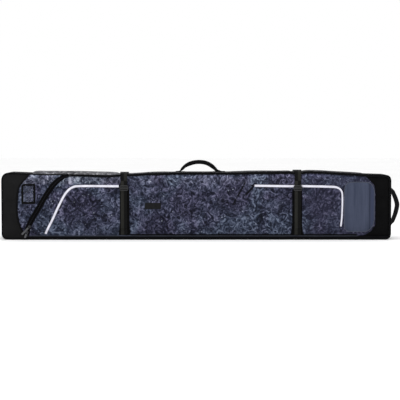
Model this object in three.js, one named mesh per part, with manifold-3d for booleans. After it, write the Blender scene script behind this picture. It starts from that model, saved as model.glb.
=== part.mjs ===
// Padded double ski bag standing on its long lower edge, with a zipped front that folds down.
// Millimetres. X runs along the bag, Y from the front (-) to the back (+), Z is up.
// The origin is the middle of the bottom rest face.
import * as THREE from 'three';
import { mergeVertices } from 'three/addons/utils/BufferGeometryUtils.js';
import Module from 'manifold-3d';

const wasm = await Module();
wasm.setup();

// Body
const LEFT_END = -947;
const RIGHT_END = 940;
const FRONT_Y = -85;
const BACK_Y = 85;
const PADDING = 12;
const BACK_PADDING = 10;
const GAP = 0.3;
const SEAM = 0.4;
const PIPING = 6;
const GUSSET_SPLIT_X = 900;
const FAR = 1200;

// Line of the top edge, left to right
const TOP_LINE = [
  [-905, 325], [-850, 323], [-790, 320], [-740, 318], [-660, 318], [-520, 316], [-478, 314], [-410, 313],
  [-385, 316], [-322, 318], [-285, 320], [-227, 323], [-150, 324], [-92, 326], [200, 326], [256, 328],
  [410, 329], [455, 330], [466, 327], [509, 327.5], [524, 331], [545, 332], [604, 330], [681, 325],
  [758, 321], [836, 316], [909, 314],
];
const CORNER = 31;
const CORNER_TOP_LEFT = 42;
const CORNER_STEPS = 6;

// Bulge of the padded front: share of CROWN at stations along X and Z
const CROWN = 8;
const CROWN_X = [
  [-947, 0], [-933, 0.45], [-915, 0.78], [-887, 1], [880, 1], [908, 0.78], [926, 0.45], [940, 0],
];
const CROWN_Z = [
  [-5, 0], [19, 0], [29, 0.42], [42, 0.78], [60, 1], [262, 1], [280, 0.68], [294, 0.28], [303, 0], [345, 0],
];

// Front seams, as X, Z points from the bottom up
const CAP_EDGE = [
  [-826, -10], [-831, 22], [-841, 36], [-860, 75], [-870, 128], [-868, 191], [-863, 249], [-841, 283],
  [-812, 316], [-806, 340],
];
const END_PANEL_EDGE = [
  [768, -10], [778, 7], [817, 24], [846, 46], [862, 75], [862, 215], [858, 261], [831, 292],
  [817, 309], [806, 340],
];
const ZIP_DIAGONAL = [
  [-825, 19], [-819, 56], [-798, 100], [-771, 143], [-737, 204], [-699, 260], [-676, 284],
  [-650, 299], [-618, 306],
];
const ZIP_INSET = 9;
const ZIP_TAPE = 9;
const ZIP_TAPE_THICK = 1.2;
const ZIP_COIL = 3;
const ZIP_COIL_THICK = 2.7;
const RIM_TOP = 17;
const GORE_EDGE = [[-776, 19], [-789, 50], [-803, 85]];
const LID_BOTTOM = 19.5;

// Layers standing on the front surface, as offsets from it
const TRIM = [0.3, 1.3];
const PATCH = [0.3, 1.5];
const BINDING = [0.3, 2];
const BINDING_HALF = 3;
const BINDING_Z = [31, 308];
const WEBBING = [1.6, 3.6];
const TAIL = [3.9, 5.9];
const ADJUSTER = [6.2, 10.2];

// Compression straps: 32 mm webbing on a wider sewn backing
const STRAPS = [
  { side: 'left', x: -353, backing: [-20, 26] },
  { side: 'right', x: 487, backing: [-27, 21] },
];
const STRAP_WIDTH = 32;
const WEB_THICK = 2;
const FLAT_FROM_Z = 303.5;
const TAIL_SPAN = [55, 285];
const ADJUSTER_Z = 250;
const ADJUSTER_SIZE = [41, 27];
const ADJUSTER_SLOT = [34, 3.2];
const ADJUSTER_SLOT_RISE = 5.6;
const BACKING_Z = { foot: 22, flare: 50, waist: 78, top: 246 };
const BACKING_FLARE = 6;

// Side-release buckles on the top wall
const BUCKLE_WIDTH = 40;
const FEMALE_Y = [-45, -10];
const FEMALE_HEIGHT = 8.8;
const SOCKET_WIDTH = 32;
const SOCKET_Z = [1.5, 7.3];
const SOCKET_END_Y = -21;
const PRONG_TIP_Y = -26;
const LATCH_WINDOW = { y: [-34, -24], z: [2.8, 6.2] };
const MALE_Y = [-67, -46];
const MALE_Z = [0.6, 7.6];
const PRONG_X = [9.5, 14.5];
const PRONG_Z = [1.9, 4.9];
const GUIDE_HALF = 2.5;
const WEB_SLOT = [34, 3.6];
const FEMALE_SLOT_Y = -17;
const MALE_SLOT_Y = -63;
const OVER_EDGE_RISE = 3;
const BEND = 1.5;
const OUTER_BEND = 2.4;
const BACK_STRAP_FOOT = 8;

// Handles
const CARRY_PIVOT_RISE = 8;
const CARRY_PATH = [
  [-77, 9], [-69, 20], [-56, 32], [-37, 42], [-13, 48.5], [10, 50.5], [33, 48.5], [53, 42.5],
  [69, 33], [84, 20], [94, 9],
];
const CARRY_THICK = [7, 16.5];
const CARRY_WIDTH = [9, 26];
const HANDLE_STEPS = 18;
const SWELL_SHARE = 0.26;
const END_PIVOT_X = 947;
const END_PATH = [
  [1, 256], [7, 247], [19, 227], [31, 204], [39, 181], [41, 166], [38.5, 146], [31, 116],
  [19, 88], [7, 66], [1, 57],
];
const END_WIDTH = [10, 28];
const END_THICK = 3.4;
const END_TILT = -35;
const PATCH_THICK = 2.5;
const PATCH_HALF = 19;
const CARRY_PATCHES = { left: [-104, -58], right: [76, 138] };
const END_PATCHES = { upper: [254, 284], lower: [28, 58] };

// Wheels sunk in the corner between the back and the left end
const WHEEL_X = -892;
const WHEEL_Y = 72;
const AXLE_RADIUS = 4;
const AXLE_BORE = 4.1;
const TYRE_PROFILE = [[28.3, -16], [34, -17], [37, -12], [38, -4]];
const HUB_PROFILE = [[AXLE_BORE, -17], [10, -17], [12, -11], [24, -11], [28, -15]];
const WHEEL_SIDES = 36;
const AXLE_SIDES = 24;
const WHEEL_ZS = [72, 254];
const WELL = { x: [LEFT_END, -838], y: [28, BACK_Y], halfWidth: 25, wall: 3 };
const HOUSING_Z = [47, 279];

// ---- helpers -------------------------------------------------------------------------------

function paint(color, roughness, metalness = 0) {
  return new THREE.MeshStandardMaterial({ color, roughness, metalness });
}

const PRINT = paint(0x3b404e, 0.85);
const PRINT_GREY = paint(0x6f7378, 0.85);
const SLATE = paint(0x444b5d, 0.8);
const CHARCOAL = paint(0x1c1c1d, 0.7);
const BLACK = paint(0x121214, 0.85);
const WEB = paint(0x26262a, 0.8);
const PIPE = paint(0x18181b, 0.6);
const PULL_GREY = paint(0x5c606a, 0.6);
const REFLECTIVE = paint(0xe9e8ee, 0.45);
const PLASTIC = paint(0x1a1a1c, 0.45);
const RUBBER = paint(0x2c2d31, 0.75);
const FILM = paint(0x6c7486, 0.15);
const METAL = paint(0x8d9096, 0.35, 0.9);
const TYRE = paint(0x17171a, 0.8);

function toSolid(geometry) {
  const bare = geometry.clone();
  bare.deleteAttribute('normal');
  bare.deleteAttribute('uv');
  const merged = mergeVertices(bare, 1e-4);
  const mesh = new wasm.Mesh({
    numProp: 3,
    vertProperties: Float32Array.from(merged.attributes.position.array),
    triVerts: Uint32Array.from(merged.index.array),
  });
  return new wasm.Manifold(mesh);
}

function toGeometry(solid) {
  const mesh = solid.getMesh();
  const geometry = new THREE.BufferGeometry();
  geometry.setAttribute('position', new THREE.BufferAttribute(Float32Array.from(mesh.vertProperties), 3));
  geometry.setIndex(Array.from(mesh.triVerts));
  geometry.computeVertexNormals();
  return geometry;
}

function piece(name, solid, material) {
  const mesh = new THREE.Mesh(toGeometry(solid), material);
  mesh.name = name;
  return mesh;
}

function shapeOf(points) {
  return new THREE.Shape(points.map(([a, b]) => new THREE.Vector2(a, b)));
}

// Prism over X, Z points between two Y planes
function prismY(points, yFrom, yTo) {
  const geometry = new THREE.ExtrudeGeometry(shapeOf(points), { depth: yTo - yFrom, bevelEnabled: false });
  geometry.rotateX(Math.PI / 2);
  geometry.translate(0, yTo, 0);
  return toSolid(geometry);
}

// Prism over Y, Z points between two X planes
function prismX(points, xFrom, xTo) {
  const geometry = new THREE.ExtrudeGeometry(shapeOf(points), { depth: xTo - xFrom, bevelEnabled: false });
  const basis = new THREE.Matrix4().makeBasis(
    new THREE.Vector3(0, 1, 0),
    new THREE.Vector3(0, 0, 1),
    new THREE.Vector3(1, 0, 0),
  );
  geometry.applyMatrix4(basis);
  geometry.translate(xFrom, 0, 0);
  return toSolid(geometry);
}

function box(xs, ys, zs) {
  const geometry = new THREE.BoxGeometry(xs[1] - xs[0], ys[1] - ys[0], zs[1] - zs[0]);
  geometry.translate((xs[0] + xs[1]) / 2, (ys[0] + ys[1]) / 2, (zs[0] + zs[1]) / 2);
  return toSolid(geometry);
}

function rectangle(xs, zs) {
  return [[xs[0], zs[0]], [xs[1], zs[0]], [xs[1], zs[1]], [xs[0], zs[1]]];
}

function interpolate(table, at) {
  const last = table.length - 1;
  const found = table.findIndex(([key]) => key > at);
  const high = found < 0 ? last : Math.max(found, 1);
  const [k0, v0] = table[high - 1];
  const [k1, v1] = table[high];
  return v0 + ((v1 - v0) * (at - k0)) / (k1 - k0);
}

function topAt(x) {
  return interpolate(TOP_LINE, x);
}

function crownAt(x, z) {
  return CROWN * interpolate(CROWN_X, x) * interpolate(CROWN_Z, z);
}

// Points moved sideways, to the left of the direction of travel where the distance is positive
function offsetPath(points, distance, closed) {
  const count = points.length;
  return points.map(([x, z], i) => {
    const before = points[closed ? (i + count - 1) % count : Math.max(i - 1, 0)];
    const after = points[closed ? (i + 1) % count : Math.min(i + 1, count - 1)];
    const a = new THREE.Vector2(x - before[0], z - before[1]).normalize();
    const b = new THREE.Vector2(after[0] - x, after[1] - z).normalize();
    const tangent = a.clone().add(b).normalize();
    const normal = new THREE.Vector2(-tangent.y, tangent.x);
    const reference = a.lengthSq() > 0 ? a : b;
    const stretch = 1 / Math.max(normal.dot(new THREE.Vector2(-reference.y, reference.x)), 0.5);
    return [x + normal.x * distance * stretch, z + normal.y * distance * stretch];
  });
}

// Closed outline of a strip between two sideways offsets of a path
function band(path, from, to) {
  return offsetPath(path, from, false).concat(offsetPath(path, to, false).reverse());
}

// ---- front surface -------------------------------------------------------------------------

// Block whose front face is the crowned front surface moved out by an offset
function behindSurface(offset) {
  const nx = CROWN_X.length - 1;
  const nz = CROWN_Z.length - 1;
  const geometry = new THREE.BoxGeometry(nx, 1, nz, nx, 1, nz);
  const position = geometry.attributes.position;
  for (let i = 0; i < position.count; i += 1) {
    const x = CROWN_X[Math.round(position.getX(i) + nx / 2)][0];
    const z = CROWN_Z[Math.round(position.getZ(i) + nz / 2)][0];
    const y = position.getY(i) < 0 ? FRONT_Y - crownAt(x, z) - offset : 0;
    position.setXYZ(i, x, y, z);
  }
  return toSolid(geometry);
}

function prismField(points) {
  return prismY(points, -200, 10);
}

// Piece with an X, Z outline that lies on the front between two offsets from its surface
function onFront(points, [inner, outer]) {
  return behindSurface(outer).subtract(behindSurface(inner)).intersect(prismField(points));
}

function bodyOutline() {
  const shape = new THREE.Shape();
  const topRight = TOP_LINE[TOP_LINE.length - 1];
  const topLeft = TOP_LINE[0];
  shape.moveTo(LEFT_END + CORNER, 0);
  shape.lineTo(RIGHT_END - CORNER, 0);
  shape.quadraticCurveTo(RIGHT_END, 0, RIGHT_END, CORNER);
  shape.lineTo(RIGHT_END, topRight[1] - CORNER);
  shape.quadraticCurveTo(RIGHT_END, topRight[1], topRight[0], topRight[1]);
  TOP_LINE.slice(1, -1).reverse().forEach(([x, z]) => shape.lineTo(x, z));
  shape.lineTo(topLeft[0], topLeft[1]);
  shape.quadraticCurveTo(LEFT_END, topLeft[1], LEFT_END, topLeft[1] - CORNER_TOP_LEFT);
  shape.lineTo(LEFT_END, CORNER);
  shape.quadraticCurveTo(LEFT_END, 0, LEFT_END + CORNER, 0);
  const points = shape.getPoints(CORNER_STEPS).map((p) => [p.x, p.y]);
  points.pop();
  return points;
}

const OUTLINE = bodyOutline();

function inset(distance) {
  return offsetPath(OUTLINE, distance, true);
}

function ring(from, to, yFrom, yTo) {
  return prismY(inset(from), yFrom, yTo).subtract(prismY(inset(to), yFrom - 1, yTo + 1));
}

// Centre line of the zip: up the diagonal, along the top edge and down the right end
function zipLine() {
  const around = inset(ZIP_INSET);
  const low = ZIP_DIAGONAL[0][1];
  const above = around.filter(([x, z]) => (x > 0 && z > low) || (x > -600 && z > 200));
  const below = around.filter(([x, z]) => x > 0 && z <= low).pop();
  const share = (low - below[1]) / (above[0][1] - below[1]);
  const foot = [below[0] + share * (above[0][0] - below[0]), low];
  const diagonalEnd = [-600, topAt(-600) - ZIP_INSET];
  return [...ZIP_DIAGONAL, diagonalEnd, ...above.reverse(), foot];
}

const ZIP_LINE = zipLine();
const FRONT_FIELD = inset(PIPING + GAP);
const SLAB = [-PADDING, 0];

function leftOf(edge) {
  return [...edge, [-FAR, 340], [-FAR, -10]];
}

function rightOf(edge) {
  return [...edge, [FAR, 340], [FAR, -10]];
}

function capSolid() {
  const edge = offsetPath(CAP_EDGE, SEAM / 2, false);
  return onFront(FRONT_FIELD, SLAB).intersect(prismField(leftOf(edge)));
}

function capBinding() {
  const strip = onFront(band(CAP_EDGE.slice(1, -1), -BINDING_HALF, BINDING_HALF), BINDING);
  return strip.intersect(box([-FAR, 0], [-200, 0], BINDING_Z));
}

function lidOutline() {
  const edge = offsetPath(ZIP_LINE, -0.6, false).filter(([x]) => x > GORE_EDGE[2][0]);
  const gore = offsetPath(GORE_EDGE, -SEAM, false);
  gore[0][1] = LID_BOTTOM;
  edge[edge.length - 1][1] = LID_BOTTOM;
  return [...gore, ...edge];
}

// Fixed corner of the front under the parked sliders, where the zip stays closed
function goreOutline() {
  const zipEdge = offsetPath(ZIP_LINE, -0.6, false).filter(([x, z]) => x <= GORE_EDGE[2][0] && z < 200);
  return [...zipEdge, ...offsetPath(GORE_EDGE, SEAM, false).reverse()];
}

function frontLeftSolid() {
  const capEdge = offsetPath(CAP_EDGE, -SEAM / 2, false);
  const zipEdge = offsetPath(ZIP_LINE, GAP, false).slice(0, ZIP_DIAGONAL.length - 1);
  const [endX, endZ] = ZIP_DIAGONAL[ZIP_DIAGONAL.length - 1];
  const corner = [[endX - SEAM, endZ], [endX - SEAM, 345]];
  const field = [...zipEdge, ...corner, ...capEdge.slice(1).reverse(), [-828, ZIP_DIAGONAL[0][1]]];
  return onFront(FRONT_FIELD, SLAB).intersect(prismField(field));
}

function rimSolid() {
  const capEdge = offsetPath(CAP_EDGE, -SEAM / 2, false).slice(0, 2);
  const foot = [capEdge[0], [FAR, -10], [FAR, RIM_TOP], [-829.2, RIM_TOP]];
  return onFront(FRONT_FIELD, SLAB).intersect(prismField(foot));
}

function lidSlab() {
  return onFront(lidOutline(), SLAB);
}

// ---- zip -----------------------------------------------------------------------------------

function zipTapeLid() {
  const tape = onFront(band(ZIP_LINE, -0.8, -ZIP_TAPE), [GAP, GAP + ZIP_TAPE_THICK]);
  const coil = onFront(band(ZIP_LINE, -0.8, -0.8 - ZIP_COIL), [GAP, GAP + ZIP_COIL_THICK]);
  const above = box([-FAR, FAR], [-200, 0], [LID_BOTTOM + 0.5, 400]);
  return tape.add(coil).intersect(above).intersect(prismField(lidOutline()));
}

// Both halves of the zip below the lid's corner, where they never part
function zipTapeClosed() {
  const low = ZIP_LINE.filter(([x, z]) => x < GORE_EDGE[2][0] + 20 && z < 200);
  const tape = onFront(band(low, -ZIP_TAPE, ZIP_TAPE), [GAP, GAP + ZIP_TAPE_THICK]);
  const coil = onFront(band(low, -ZIP_COIL, ZIP_COIL), [GAP, GAP + ZIP_COIL_THICK]);
  const field = [...offsetPath(GORE_EDGE, SEAM, false), [-815, 112], [-850, 112], [-850, 19]];
  return tape.add(coil).intersect(prismField(field));
}

function zipTapeFixed() {
  const diagonal = ZIP_LINE.slice(0, ZIP_DIAGONAL.length + 1);
  const tape = onFront(band(diagonal, GAP, ZIP_TAPE), [GAP, GAP + ZIP_TAPE_THICK]);
  const coil = onFront(band(diagonal, GAP, ZIP_COIL), [GAP, GAP + ZIP_COIL_THICK]);
  const edge = ZIP_LINE.slice(ZIP_DIAGONAL.length - 1);
  const strip = onFront(band(edge, GAP, ZIP_INSET - PIPING - GAP), [-PADDING, GAP + ZIP_COIL_THICK]);
  const above = box([-FAR, FAR], [-200, 0], [ZIP_DIAGONAL[0][1] + 0.5, 400]);
  return tape.add(coil).add(strip).add(zipTapeClosed()).intersect(above);
}

const SLIDERS = [
  { name: 'upper', x: -808.5, z: 64, lean: 24, pullLean: 45, pullLength: 54 },
  { name: 'lower', x: -821, z: 36.5, lean: 8, pullLean: 22, pullLength: 30 },
];
const SLIDER_OUTLINE = [[-4, -6], [4, -6], [6, -1], [6, 4], [2, 6], [-2, 6], [-6, 4], [-6, -1]];
const SLIDER_REACH = 8;
const SLIDER_THICK = 4.4;
const BAIL = { half: 1.6, rise: 4.2, wall: 1, z: [-4.2, 5] };
const PULL_THICK = 2;
const PULL_HALF = 4.6;
const PULL_WINDOW = [[-3.6, -1], [-3.6, -9.5], [3.6, -9.5], [3.6, -1]];
const PULL_OFF_SLIDER = 1.6;

// Slider body with a bail, seated on the coils, pointing up before it is turned
function sliderSolid() {
  const { half, rise, wall, z } = BAIL;
  const body = prismY(SLIDER_OUTLINE, -SLIDER_THICK, 0);
  const outer = box([-half, half], [-SLIDER_THICK - rise, -SLIDER_THICK + wall], z);
  const innerY = [-SLIDER_THICK - rise + wall, -SLIDER_THICK];
  const inner = box([-2 * half, 2 * half], innerY, [z[0] + wall, z[1] - wall]);
  return body.add(outer.subtract(inner));
}

// Flat pull with a crossbar through the bail, hanging down from its pivot at the origin
function pullSolid(length) {
  const outline = [
    [-PULL_HALF, 1], [-PULL_HALF, 4 - length], [2 - PULL_HALF, -length], [PULL_HALF - 2, -length],
    [PULL_HALF, 4 - length], [PULL_HALF, 1],
  ];
  const plate = prismY(outline, -PULL_THICK / 2, PULL_THICK / 2);
  return plate.subtract(prismY(PULL_WINDOW, -PULL_THICK, PULL_THICK));
}

function sliderGroup({ name, x, z, lean, pullLean, pullLength }) {
  const base = FRONT_Y - crownAt(x, z + SLIDER_REACH) - GAP - ZIP_COIL_THICK - GAP;
  const group = new THREE.Group();
  group.position.set(x, base, z);
  const slider = piece(`zip_slider_${name}`, sliderSolid(), METAL);
  slider.rotation.y = THREE.MathUtils.degToRad(lean);
  const pull = piece(`zip_pull_${name}`, pullSolid(pullLength), PULL_GREY);
  pull.position.y = -SLIDER_THICK - PULL_OFF_SLIDER;
  pull.rotation.y = THREE.MathUtils.degToRad(pullLean);
  group.add(slider, pull);
  return group;
}

// ---- compression straps --------------------------------------------------------------------

function adjusterSolid(x) {
  const [width, height] = ADJUSTER_SIZE;
  const [slotWidth, slotHeight] = ADJUSTER_SLOT;
  const plateXs = [x - width / 2, x + width / 2];
  const plateZs = [ADJUSTER_Z - height / 2, ADJUSTER_Z + height / 2];
  const plate = onFront(rectangle(plateXs, plateZs), ADJUSTER);
  const slots = [-ADJUSTER_SLOT_RISE, ADJUSTER_SLOT_RISE].map((dz) => {
    const middle = ADJUSTER_Z + dz;
    const xs = [x - slotWidth / 2, x + slotWidth / 2];
    return prismField(rectangle(xs, [middle - slotHeight / 2, middle + slotHeight / 2]));
  });
  return plate.subtract(slots[0]).subtract(slots[1]);
}

function webSlot(yFrom) {
  return box([-WEB_SLOT[0] / 2, WEB_SLOT[0] / 2], [yFrom, yFrom + WEB_SLOT[1]], [-1, 20]);
}

function femaleSolid() {
  const half = BUCKLE_WIDTH / 2;
  const shell = box([-half, half], FEMALE_Y, [0, FEMALE_HEIGHT]);
  const socket = box([-SOCKET_WIDTH / 2, SOCKET_WIDTH / 2], [FEMALE_Y[0] - 1, SOCKET_END_Y], SOCKET_Z);
  const windows = box([-half - 1, half + 1], LATCH_WINDOW.y, LATCH_WINDOW.z);
  return shell.subtract(socket).subtract(windows).subtract(webSlot(FEMALE_SLOT_Y));
}

function maleSolid() {
  const half = BUCKLE_WIDTH / 2 - 1;
  const base = box([-half, half], MALE_Y, MALE_Z);
  const [near, far] = PRONG_X;
  const prongY = [MALE_Y[1] - 1, PRONG_TIP_Y];
  const left = box([-far, -near], prongY, PRONG_Z);
  const right = box([near, far], prongY, PRONG_Z);
  const guide = box([-GUIDE_HALF, GUIDE_HALF], [prongY[0], PRONG_TIP_Y - 4], PRONG_Z);
  return base.subtract(webSlot(MALE_SLOT_Y)).add(left).add(right).add(guide);
}

// Webbing from the male half forward over the top edge and a short way down the front
function overEdgeSolid(top) {
  const drop = Math.max(FLAT_FROM_Z, top - 24) - top;
  const outerY = FRONT_Y - TAIL[1];
  const innerY = FRONT_Y - TAIL[0];
  const from = MALE_Y[0] - GAP;
  const low = OVER_EDGE_RISE;
  const high = low + WEB_THICK;
  const profile = [
    [from, low], [innerY + BEND, low], [innerY, low - BEND], [innerY, drop], [outerY, drop],
    [outerY, high - OUTER_BEND], [outerY + OUTER_BEND, high], [from, high],
  ];
  return prismX(profile, -STRAP_WIDTH / 2, STRAP_WIDTH / 2);
}

// Webbing from the female half back over the top edge and down the back to the bottom seam
function backStrapSolid(top) {
  const from = FEMALE_Y[1] + GAP;
  const inner = BACK_Y + GAP;
  const outer = inner + WEB_THICK;
  const foot = BACK_STRAP_FOOT - top;
  const low = 0.2;
  const high = low + WEB_THICK;
  const profile = [
    [from, low], [inner, low], [inner, foot], [outer, foot],
    [outer, high - BEND], [outer - BEND, high], [from, high],
  ];
  return prismX(profile, -STRAP_WIDTH / 2, STRAP_WIDTH / 2);
}

// Backing strip sewn under a strap, wider at its foot
function backingOutline(x, [left, right]) {
  const { foot, flare, waist, top } = BACKING_Z;
  return [
    [x + left - BACKING_FLARE, foot], [x + right + BACKING_FLARE, foot],
    [x + right + BACKING_FLARE / 2, flare], [x + right, waist], [x + right, top],
    [x + left, top], [x + left, waist], [x + left - BACKING_FLARE / 2, flare],
  ];
}

function strapPieces({ side, x, backing }) {
  const half = STRAP_WIDTH / 2;
  const top = Math.max(topAt(x - 24), topAt(x), topAt(x + 24)) + GAP;
  const xs = [x - half, x + half];
  const onTop = new THREE.Group();
  onTop.position.set(x, 0, top);
  onTop.add(
    piece(`buckle_female_${side}`, femaleSolid(), PLASTIC),
    piece(`buckle_male_${side}`, maleSolid(), PLASTIC),
    piece(`strap_over_edge_${side}`, overEdgeSolid(top), WEB),
    piece(`back_strap_${side}`, backStrapSolid(top), WEB),
  );
  return [
    onTop,
    piece(`front_strap_${side}`, onFront(rectangle(xs, [BACKING_Z.foot, FLAT_FROM_Z]), WEBBING), WEB),
    piece(`strap_tail_${side}`, onFront(rectangle(xs, TAIL_SPAN), TAIL), WEB),
    piece(`strap_adjuster_${side}`, adjusterSolid(x), PLASTIC),
    piece(`strap_anchor_${side}`, onFront(backingOutline(x, backing), TRIM), BLACK),
  ];
}

// ---- handles -------------------------------------------------------------------------------

// Closed band swept along X, Z points, with its width along Y
function sweptBand(path, stations, thicknessAt, widthAt) {
  const curve = new THREE.CatmullRomCurve3(path.map(([x, z]) => new THREE.Vector3(x, 0, z)));
  const geometry = new THREE.BoxGeometry(stations, 1, 1, stations, 1, 1);
  const position = geometry.attributes.position;
  for (let i = 0; i < position.count; i += 1) {
    const share = (position.getX(i) + stations / 2) / stations;
    const point = curve.getPoint(share);
    const tangent = curve.getTangent(share);
    const across = position.getZ(i) * thicknessAt(share);
    position.setXYZ(
      i,
      point.x - tangent.z * across,
      position.getY(i) * widthAt(share),
      point.z + tangent.x * across,
    );
  }
  return geometry;
}

function swell([ends, middle], share) {
  const rise = Math.min(Math.min(share, 1 - share) / SWELL_SHARE, 1);
  return ends + (middle - ends) * rise;
}

function carryHandle() {
  const thicknessAt = (share) => swell(CARRY_THICK, share);
  const widthAt = (share) => swell(CARRY_WIDTH, share);
  const geometry = sweptBand(CARRY_PATH, HANDLE_STEPS, thicknessAt, widthAt);
  const mesh = new THREE.Mesh(geometry, WEB);
  mesh.name = 'carry_handle';
  mesh.position.z = topAt(0);
  return mesh;
}

function endHandle() {
  const widthAt = (share) => swell(END_WIDTH, share);
  const geometry = sweptBand(END_PATH, HANDLE_STEPS, () => END_THICK, widthAt);
  const mesh = new THREE.Mesh(geometry, WEB);
  mesh.name = 'end_handle';
  mesh.position.x = END_PIVOT_X;
  mesh.rotation.z = THREE.MathUtils.degToRad(END_TILT);
  return mesh;
}

function handlePieces() {
  const top = topAt(0) + GAP;
  const wall = RIGHT_END + GAP;
  const across = [-PATCH_HALF, PATCH_HALF];
  const onTop = Object.entries(CARRY_PATCHES).map(([side, xs]) => (
    piece(`carry_anchor_${side}`, box(xs, across, [top, top + PATCH_THICK]), WEB)
  ));
  const onEnd = Object.entries(END_PATCHES).map(([side, zs]) => (
    piece(`end_anchor_${side}`, box([wall, wall + PATCH_THICK], across, zs), WEB)
  ));
  return [...onTop, ...onEnd, carryHandle(), endHandle()];
}

// ---- wheels --------------------------------------------------------------------------------

function cylinderZ(radius, zFrom, zTo, x, y, sides) {
  const geometry = new THREE.CylinderGeometry(radius, radius, zTo - zFrom, sides);
  geometry.rotateX(Math.PI / 2);
  geometry.translate(x, y, (zFrom + zTo) / 2);
  return toSolid(geometry);
}

// Ring of revolution about Z from radius, height points that close on themselves
function turned(profile, sides) {
  const points = [...profile, profile[0]].map(([r, h]) => new THREE.Vector2(r, h));
  const geometry = new THREE.LatheGeometry(points, sides);
  geometry.rotateX(Math.PI / 2);
  return toSolid(geometry);
}

function wellSpan(z, grow) {
  return [z - WELL.halfWidth - grow, z + WELL.halfWidth + grow];
}

function housingCut() {
  const xs = [-FAR, WELL.x[1] + GAP];
  const plateZs = [HOUSING_Z[0] - GAP, HOUSING_Z[1] + GAP];
  const plate = box(xs, [BACK_Y - BACK_PADDING - GAP, FAR], plateZs);
  const tubs = WHEEL_ZS.map((z) => box(xs, [WELL.y[0] - GAP, FAR], wellSpan(z, GAP)));
  return plate.add(tubs[0]).add(tubs[1]);
}

function housingSolid() {
  const { wall } = WELL;
  let solid = box(WELL.x, [BACK_Y - BACK_PADDING, WELL.y[1]], HOUSING_Z);
  WHEEL_ZS.forEach((z) => {
    solid = solid.add(box(WELL.x, WELL.y, wellSpan(z, 0)));
  });
  WHEEL_ZS.forEach((z) => {
    const well = box([WELL.x[0] + wall, WELL.x[1] - wall], [WELL.y[0] + wall, FAR], wellSpan(z, -wall));
    const reach = WELL.halfWidth + 1;
    const bore = cylinderZ(AXLE_RADIUS + GAP, z - reach, z + reach, WHEEL_X, WHEEL_Y, AXLE_SIDES);
    solid = solid.subtract(well).subtract(bore);
  });
  return solid;
}

// Half a profile from the wheel's middle to its side, closed by its mirror image
function mirroredProfile(half) {
  return [...half, ...half.map(([r, h]) => [r, -h]).reverse()];
}

function wheelGroup(z, side) {
  const reach = WELL.halfWidth - GAP;
  const group = new THREE.Group();
  group.position.set(WHEEL_X, WHEEL_Y, z);
  group.add(
    piece(`wheel_tyre_${side}`, turned(mirroredProfile(TYRE_PROFILE), WHEEL_SIDES), TYRE),
    piece(`wheel_hub_${side}`, turned(mirroredProfile(HUB_PROFILE), WHEEL_SIDES), PLASTIC),
    piece(`wheel_axle_${side}`, cylinderZ(AXLE_RADIUS, -reach, reach, 0, 0, AXLE_SIDES), METAL),
  );
  return group;
}

// ---- shell ---------------------------------------------------------------------------------

function gussetPart(xs, zs) {
  const whole = ring(0, PADDING, FRONT_Y + PADDING + 2 * GAP, BACK_Y - BACK_PADDING - GAP);
  return whole.intersect(box(xs, [-200, 200], zs));
}

function shellPieces() {
  const cut = housingCut();
  const split = GUSSET_SPLIT_X;
  const backY = [BACK_Y - BACK_PADDING, BACK_Y];
  return [
    piece('back_panel', prismY(inset(PIPING + 2 * GAP), ...backY).subtract(cut), PRINT),
    piece('back_piping', ring(SEAM, PIPING, ...backY).subtract(cut), PIPE),
    piece('top_gusset', gussetPart([-split, split], [160, 400]), PRINT_GREY),
    piece('bottom_gusset', gussetPart([-split, split], [-5, 160]), BLACK),
    piece('left_end_wall', gussetPart([-FAR, -split - GAP], [-5, 400]).subtract(cut), CHARCOAL),
    piece('right_end_wall', gussetPart([split + GAP, FAR], [-5, 400]), BLACK),
    piece('front_piping', ring(SEAM, PIPING, FRONT_Y, FRONT_Y + PADDING), PIPE),
    piece('left_end_cap', capSolid(), CHARCOAL),
    piece('front_left_panel', frontLeftSolid(), PRINT),
    piece('front_gore', onFront(goreOutline(), SLAB), PRINT),
    piece('bottom_rim', rimSolid(), BLACK),
    piece('cap_piping', capBinding(), PIPE),
    piece('zip_tape_body', zipTapeFixed(), BLACK),
  ];
}

const WINDOW_OUTER = [[-848, 173], [-780, 173], [-780, 271], [-839, 271], [-848, 261]];
const WINDOW_BINDING = 7.5;
const FILM_THICK = 0.6;

function windowPieces() {
  const inner = offsetPath(WINDOW_OUTER, WINDOW_BINDING, true);
  const film = offsetPath(WINDOW_OUTER, WINDOW_BINDING + GAP, true);
  const binding = onFront(WINDOW_OUTER, BINDING).subtract(prismField(inner));
  return [
    piece('label_window_binding', binding, PIPE),
    piece('label_window', onFront(film, [GAP, GAP + FILM_THICK]), FILM),
  ];
}

const LINE_HALF = 5.5;
const LEFT_LINE = [
  [-733, 29], [-720, 56], [-698, 99], [-677, 145], [-657, 186], [-640, 217], [-621, 242], [-599, 256],
  [-575, 261], [-340, 258.6],
];
const RIGHT_LINE = [
  [278, 262], [469, 258.6], [503, 260], [655, 257], [676, 254], [691, 246], [700, 232], [702, 214],
  [702, 167], [700, 104], [695, 65],
];
const RUBBER_LAYER = [0.3, 2.8];
const SIDE_PATCH = [
  [724, 39], [826, 39], [843, 56], [856, 80], [856, 250], [845, 267], [833, 278], [724, 278],
  [712, 266], [712, 51],
];

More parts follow.
